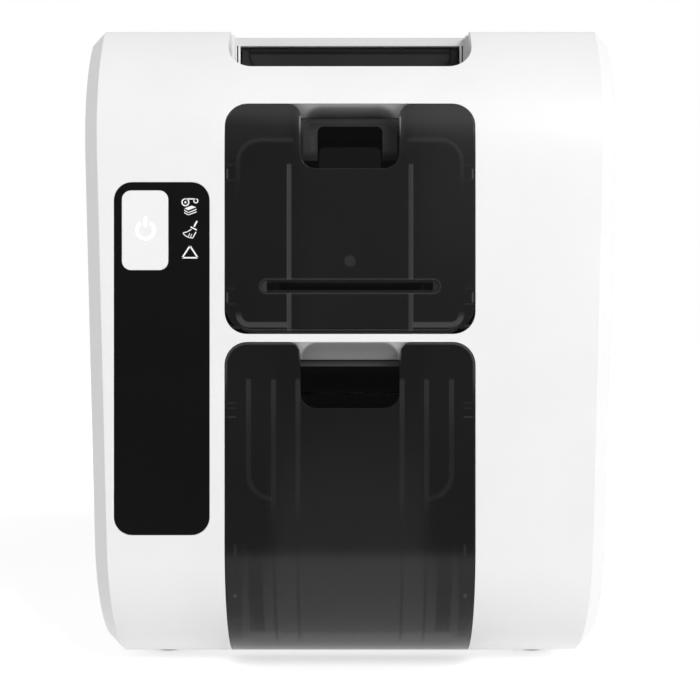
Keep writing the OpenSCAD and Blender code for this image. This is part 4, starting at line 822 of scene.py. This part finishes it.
def draw_ribbon_sign(sign):
    """A ribbon between its two rolls, above a card and the edges of two more below it."""
    big_x, big_z = -63.2, 186.05
    small_x, small_z = -59.2, 186.6
    ribbon_z = 187.35
    left, low, right = -63.55, -62.1, -59.05
    sign.ring(big_x, big_z, 1.54, 1.08)
    sign.ring(big_x, big_z, 0.42, 0.02)
    sign.ring(small_x, small_z, 0.98, 0.56)
    sign.line([(big_x + 0.3, ribbon_z), (small_x, ribbon_z)], 0.5)
    sign.outline([(left, 183.7), (-60.8, 184.75), (right, 184.2), (low, 183.0)])
    for edge in ((183.0, 182.05, 183.3), (182.05, 181.2, 182.35)):
        sign.line(list(zip((left, low, right), edge)), 0.35)


def draw_cleaning_sign(sign):
    """A brush with its handle, its collar and its bristles."""
    handle = [(-58.85, 178.65), (-59.75, 176.9)]
    collar = [(-61.05, 176.5), (-59.0, 175.5)]
    bristles = [(-61.05, 175.6), (-62.5, 174.7), (-64.15, 174.3), (-63.5, 173.4), (-62.2, 172.65),
                (-60.4, 172.3), (-59.2, 174.55)]
    sign.line(handle, 0.62)
    sign.line(collar, 0.5)
    sign.line(bristles, 0.4)
    sign.line([(-62.1, 172.8), (-61.6, 174.05)], 0.3)
    sign.line([(-61.3, 172.5), (-60.8, 173.7)], 0.3)


def draw_attention_sign(sign):
    """A plain triangle."""
    middle_x = -61.45
    half_w = 3.0
    low, high = 164.75, 169.3
    corners = [(middle_x - half_w, low), (middle_x, high), (middle_x + half_w, low)]
    sign.line(corners, 0.6, closed=True)


def draw_panel_signs():
    """White signs on the panel: ribbon and cards, cleaning, and attention."""
    sign = Sign("panel_signs", PANEL_D)
    draw_ribbon_sign(sign)
    draw_cleaning_sign(sign)
    draw_attention_sign(sign)
    sign.finish(body_of("control_panel"), "ink", "button_plastic")


def draw_power_symbol():
    """The lit symbol of the power button: an open ring and a bar."""
    centre_x, centre_z = -78.55, 175.35
    thickness = 0.03
    outer, inner = 3.99, 2.6
    # The ring is open at its top, this far to each side, in degrees
    half_gap = 33
    bar_low, bar_high = 1.7, 4.65
    bar_w = 1.4
    sign = Sign("power_symbol", BUTTON_D, thickness)
    sign.ring(centre_x, centre_z, outer, inner, 90 + half_gap, 450 - half_gap)
    sign.line([(centre_x, centre_z + bar_low), (centre_x, centre_z + bar_high)], bar_w)
    sign.finish(body_of("power_button"), "symbol", "button_plastic")


draw_panel_signs()
draw_power_symbol()

# ---- Stage: world, floor, card, lamp and camera, in metres ----

scene = bpy.context.scene
scene.view_settings.view_transform = "Standard"


def seen_rays(tree):
    """1 for camera, glossy and transmission rays, and 0 for the rays that light the object."""
    path = tree.nodes.new("ShaderNodeLightPath")
    seen = Field(tree, path.outputs["Is Camera Ray"])
    for other in ("Is Glossy Ray", "Is Transmission Ray"):
        seen = seen.at_least(Field(tree, path.outputs[other]))
    return seen


def shader_node(tree, kind, colour, strength=None):
    """The output of a shader of one colour, and of one strength where it gives light."""
    node = tree.nodes.new(kind)
    node.inputs["Color"].default_value = colour
    if strength is not None:
        node.inputs["Strength"].default_value = strength
    return node.outputs[0]


def mixed(tree, factor, low, high):
    """The output of a shader that goes from low to high as the factor goes from 0 to 1."""
    mix = tree.nodes.new("ShaderNodeMixShader")
    tree.links.new(factor.socket, mix.inputs["Fac"])
    tree.links.new(low, mix.inputs[1])
    tree.links.new(high, mix.inputs[2])
    return mix.outputs[0]


def studio_world():
    """A world that looks pure white, but gives the object less light than that."""
    world = bpy.data.worlds.new("studio")
    scene.world = world
    tree = empty_tree(world)
    out = tree.nodes.new("ShaderNodeOutputWorld")
    lit = shader_node(tree, "ShaderNodeBackground", WHITE_LIGHT, 0.39)
    seen = shader_node(tree, "ShaderNodeBackground", WHITE_LIGHT, 1.0)
    tree.links.new(mixed(tree, seen_rays(tree), lit, seen), out.inputs["Surface"])


def paper_floor():
    """A table that glows a little, so that it looks white. It looks whitest far from the object."""
    near, far = 0.3, 0.9
    look_near = 0.45
    look_more = 0.06
    light = 0.16
    bpy.ops.mesh.primitive_plane_add(size=40, location=(0, 0, 0))
    floor = bpy.context.object
    floor.name = "floor"
    paper = bpy.data.materials.new("paper")
    tree = empty_tree(paper)
    out = tree.nodes.new("ShaderNodeOutputMaterial")
    diffuse = shader_node(tree, "ShaderNodeBsdfDiffuse", (0.9, 0.9, 0.9, 1))
    glow = tree.nodes.new("ShaderNodeEmission")
    glow.inputs["Color"].default_value = WHITE_LIGHT
    x, y, _ = object_place(tree)
    distance = length(x, y).ramp(near, far)
    strength = seen_rays(tree) * (distance * look_more + look_near) + light
    tree.links.new(strength.socket, glow.inputs["Strength"])
    both = tree.nodes.new("ShaderNodeAddShader")
    tree.links.new(diffuse, both.inputs[0])
    tree.links.new(glow.outputs[0], both.inputs[1])
    tree.links.new(both.outputs[0], out.inputs["Surface"])
    floor.data.materials.append(paper)


def dark_coat(width, height, shade, soft):
    """The dark card's material. It is clear at the rim, and its upper edge slopes to one side."""
    # Across and up run from -0.5 to 0.5 over the card
    rim = 0.5
    slope = 0.44
    foot_soft = 0.02
    coat = bpy.data.materials.new("dark_card")
    tree = empty_tree(coat)
    out = tree.nodes.new("ShaderNodeOutputMaterial")
    across, up, _ = object_place(tree)
    sides = abs(across).ramp(rim, rim - soft / width)
    top = (up + across * slope).ramp(rim, rim - soft / height)
    foot = up.ramp(-rim, -rim + foot_soft / height)
    dim = shader_node(tree, "ShaderNodeEmission", WHITE_LIGHT, shade)
    clear = tree.nodes.new("ShaderNodeBsdfTransparent").outputs[0]
    tree.links.new(mixed(tree, sides * top * foot, clear, dim), out.inputs["Surface"])
    return coat


def dark_card(width, height, low_y, high_y, shade, soft):
    """A dark card in front of the object, which only shows as a reflection in what is glossy."""
    lean = math.atan2(low_y - high_y, height)
    middle = (0, (low_y + high_y) / 2, height / 2)
    bpy.ops.mesh.primitive_plane_add(size=1, location=middle, rotation=(math.radians(90) + lean, 0, 0))
    card = bpy.context.object
    card.name = "dark_card"
    card.scale = (width, height / math.cos(lean), 1)
    card.data.materials.append(dark_coat(width, height, shade, soft))
    card.visible_camera = False
    card.visible_diffuse = False
    card.visible_shadow = False
    card.visible_transmission = False


def lamp(name, place, aim, size, power):
    """A square lamp at a place, turned towards the point that it aims at."""
    data = bpy.data.lights.new(name, "AREA")
    data.shape = "SQUARE"
    data.size = size
    data.energy = power
    made = bpy.data.objects.new(name, data)
    scene.collection.objects.link(made)
    made.location = place
    made.rotation_euler = (Vector(aim) - Vector(place)).to_track_quat("-Z", "Y").to_euler()


def front_camera():
    """The photograph's camera: level, straight in front, and close enough for its perspective."""
    distance = 0.6426
    height = 0.1324
    image_width = 700
    pixels_down = 8
    data = bpy.data.cameras.new("camera")
    camera = bpy.data.objects.new("camera", data)
    scene.collection.objects.link(camera)
    data.lens = 70
    data.sensor_width = 36
    data.shift_y = -pixels_down / image_width
    camera.location = (0, -distance, height)
    camera.rotation_euler = (math.radians(90), 0, 0)
    scene.camera = camera


studio_world()
paper_floor()
dark_card(width=0.52, height=0.35, low_y=-0.232, high_y=-0.29, shade=0.22, soft=0.075)
lamp("key", place=(1.75, -2.9, 1.9), aim=(0, 0, 0.13), size=1.6, power=90.5)
front_camera()
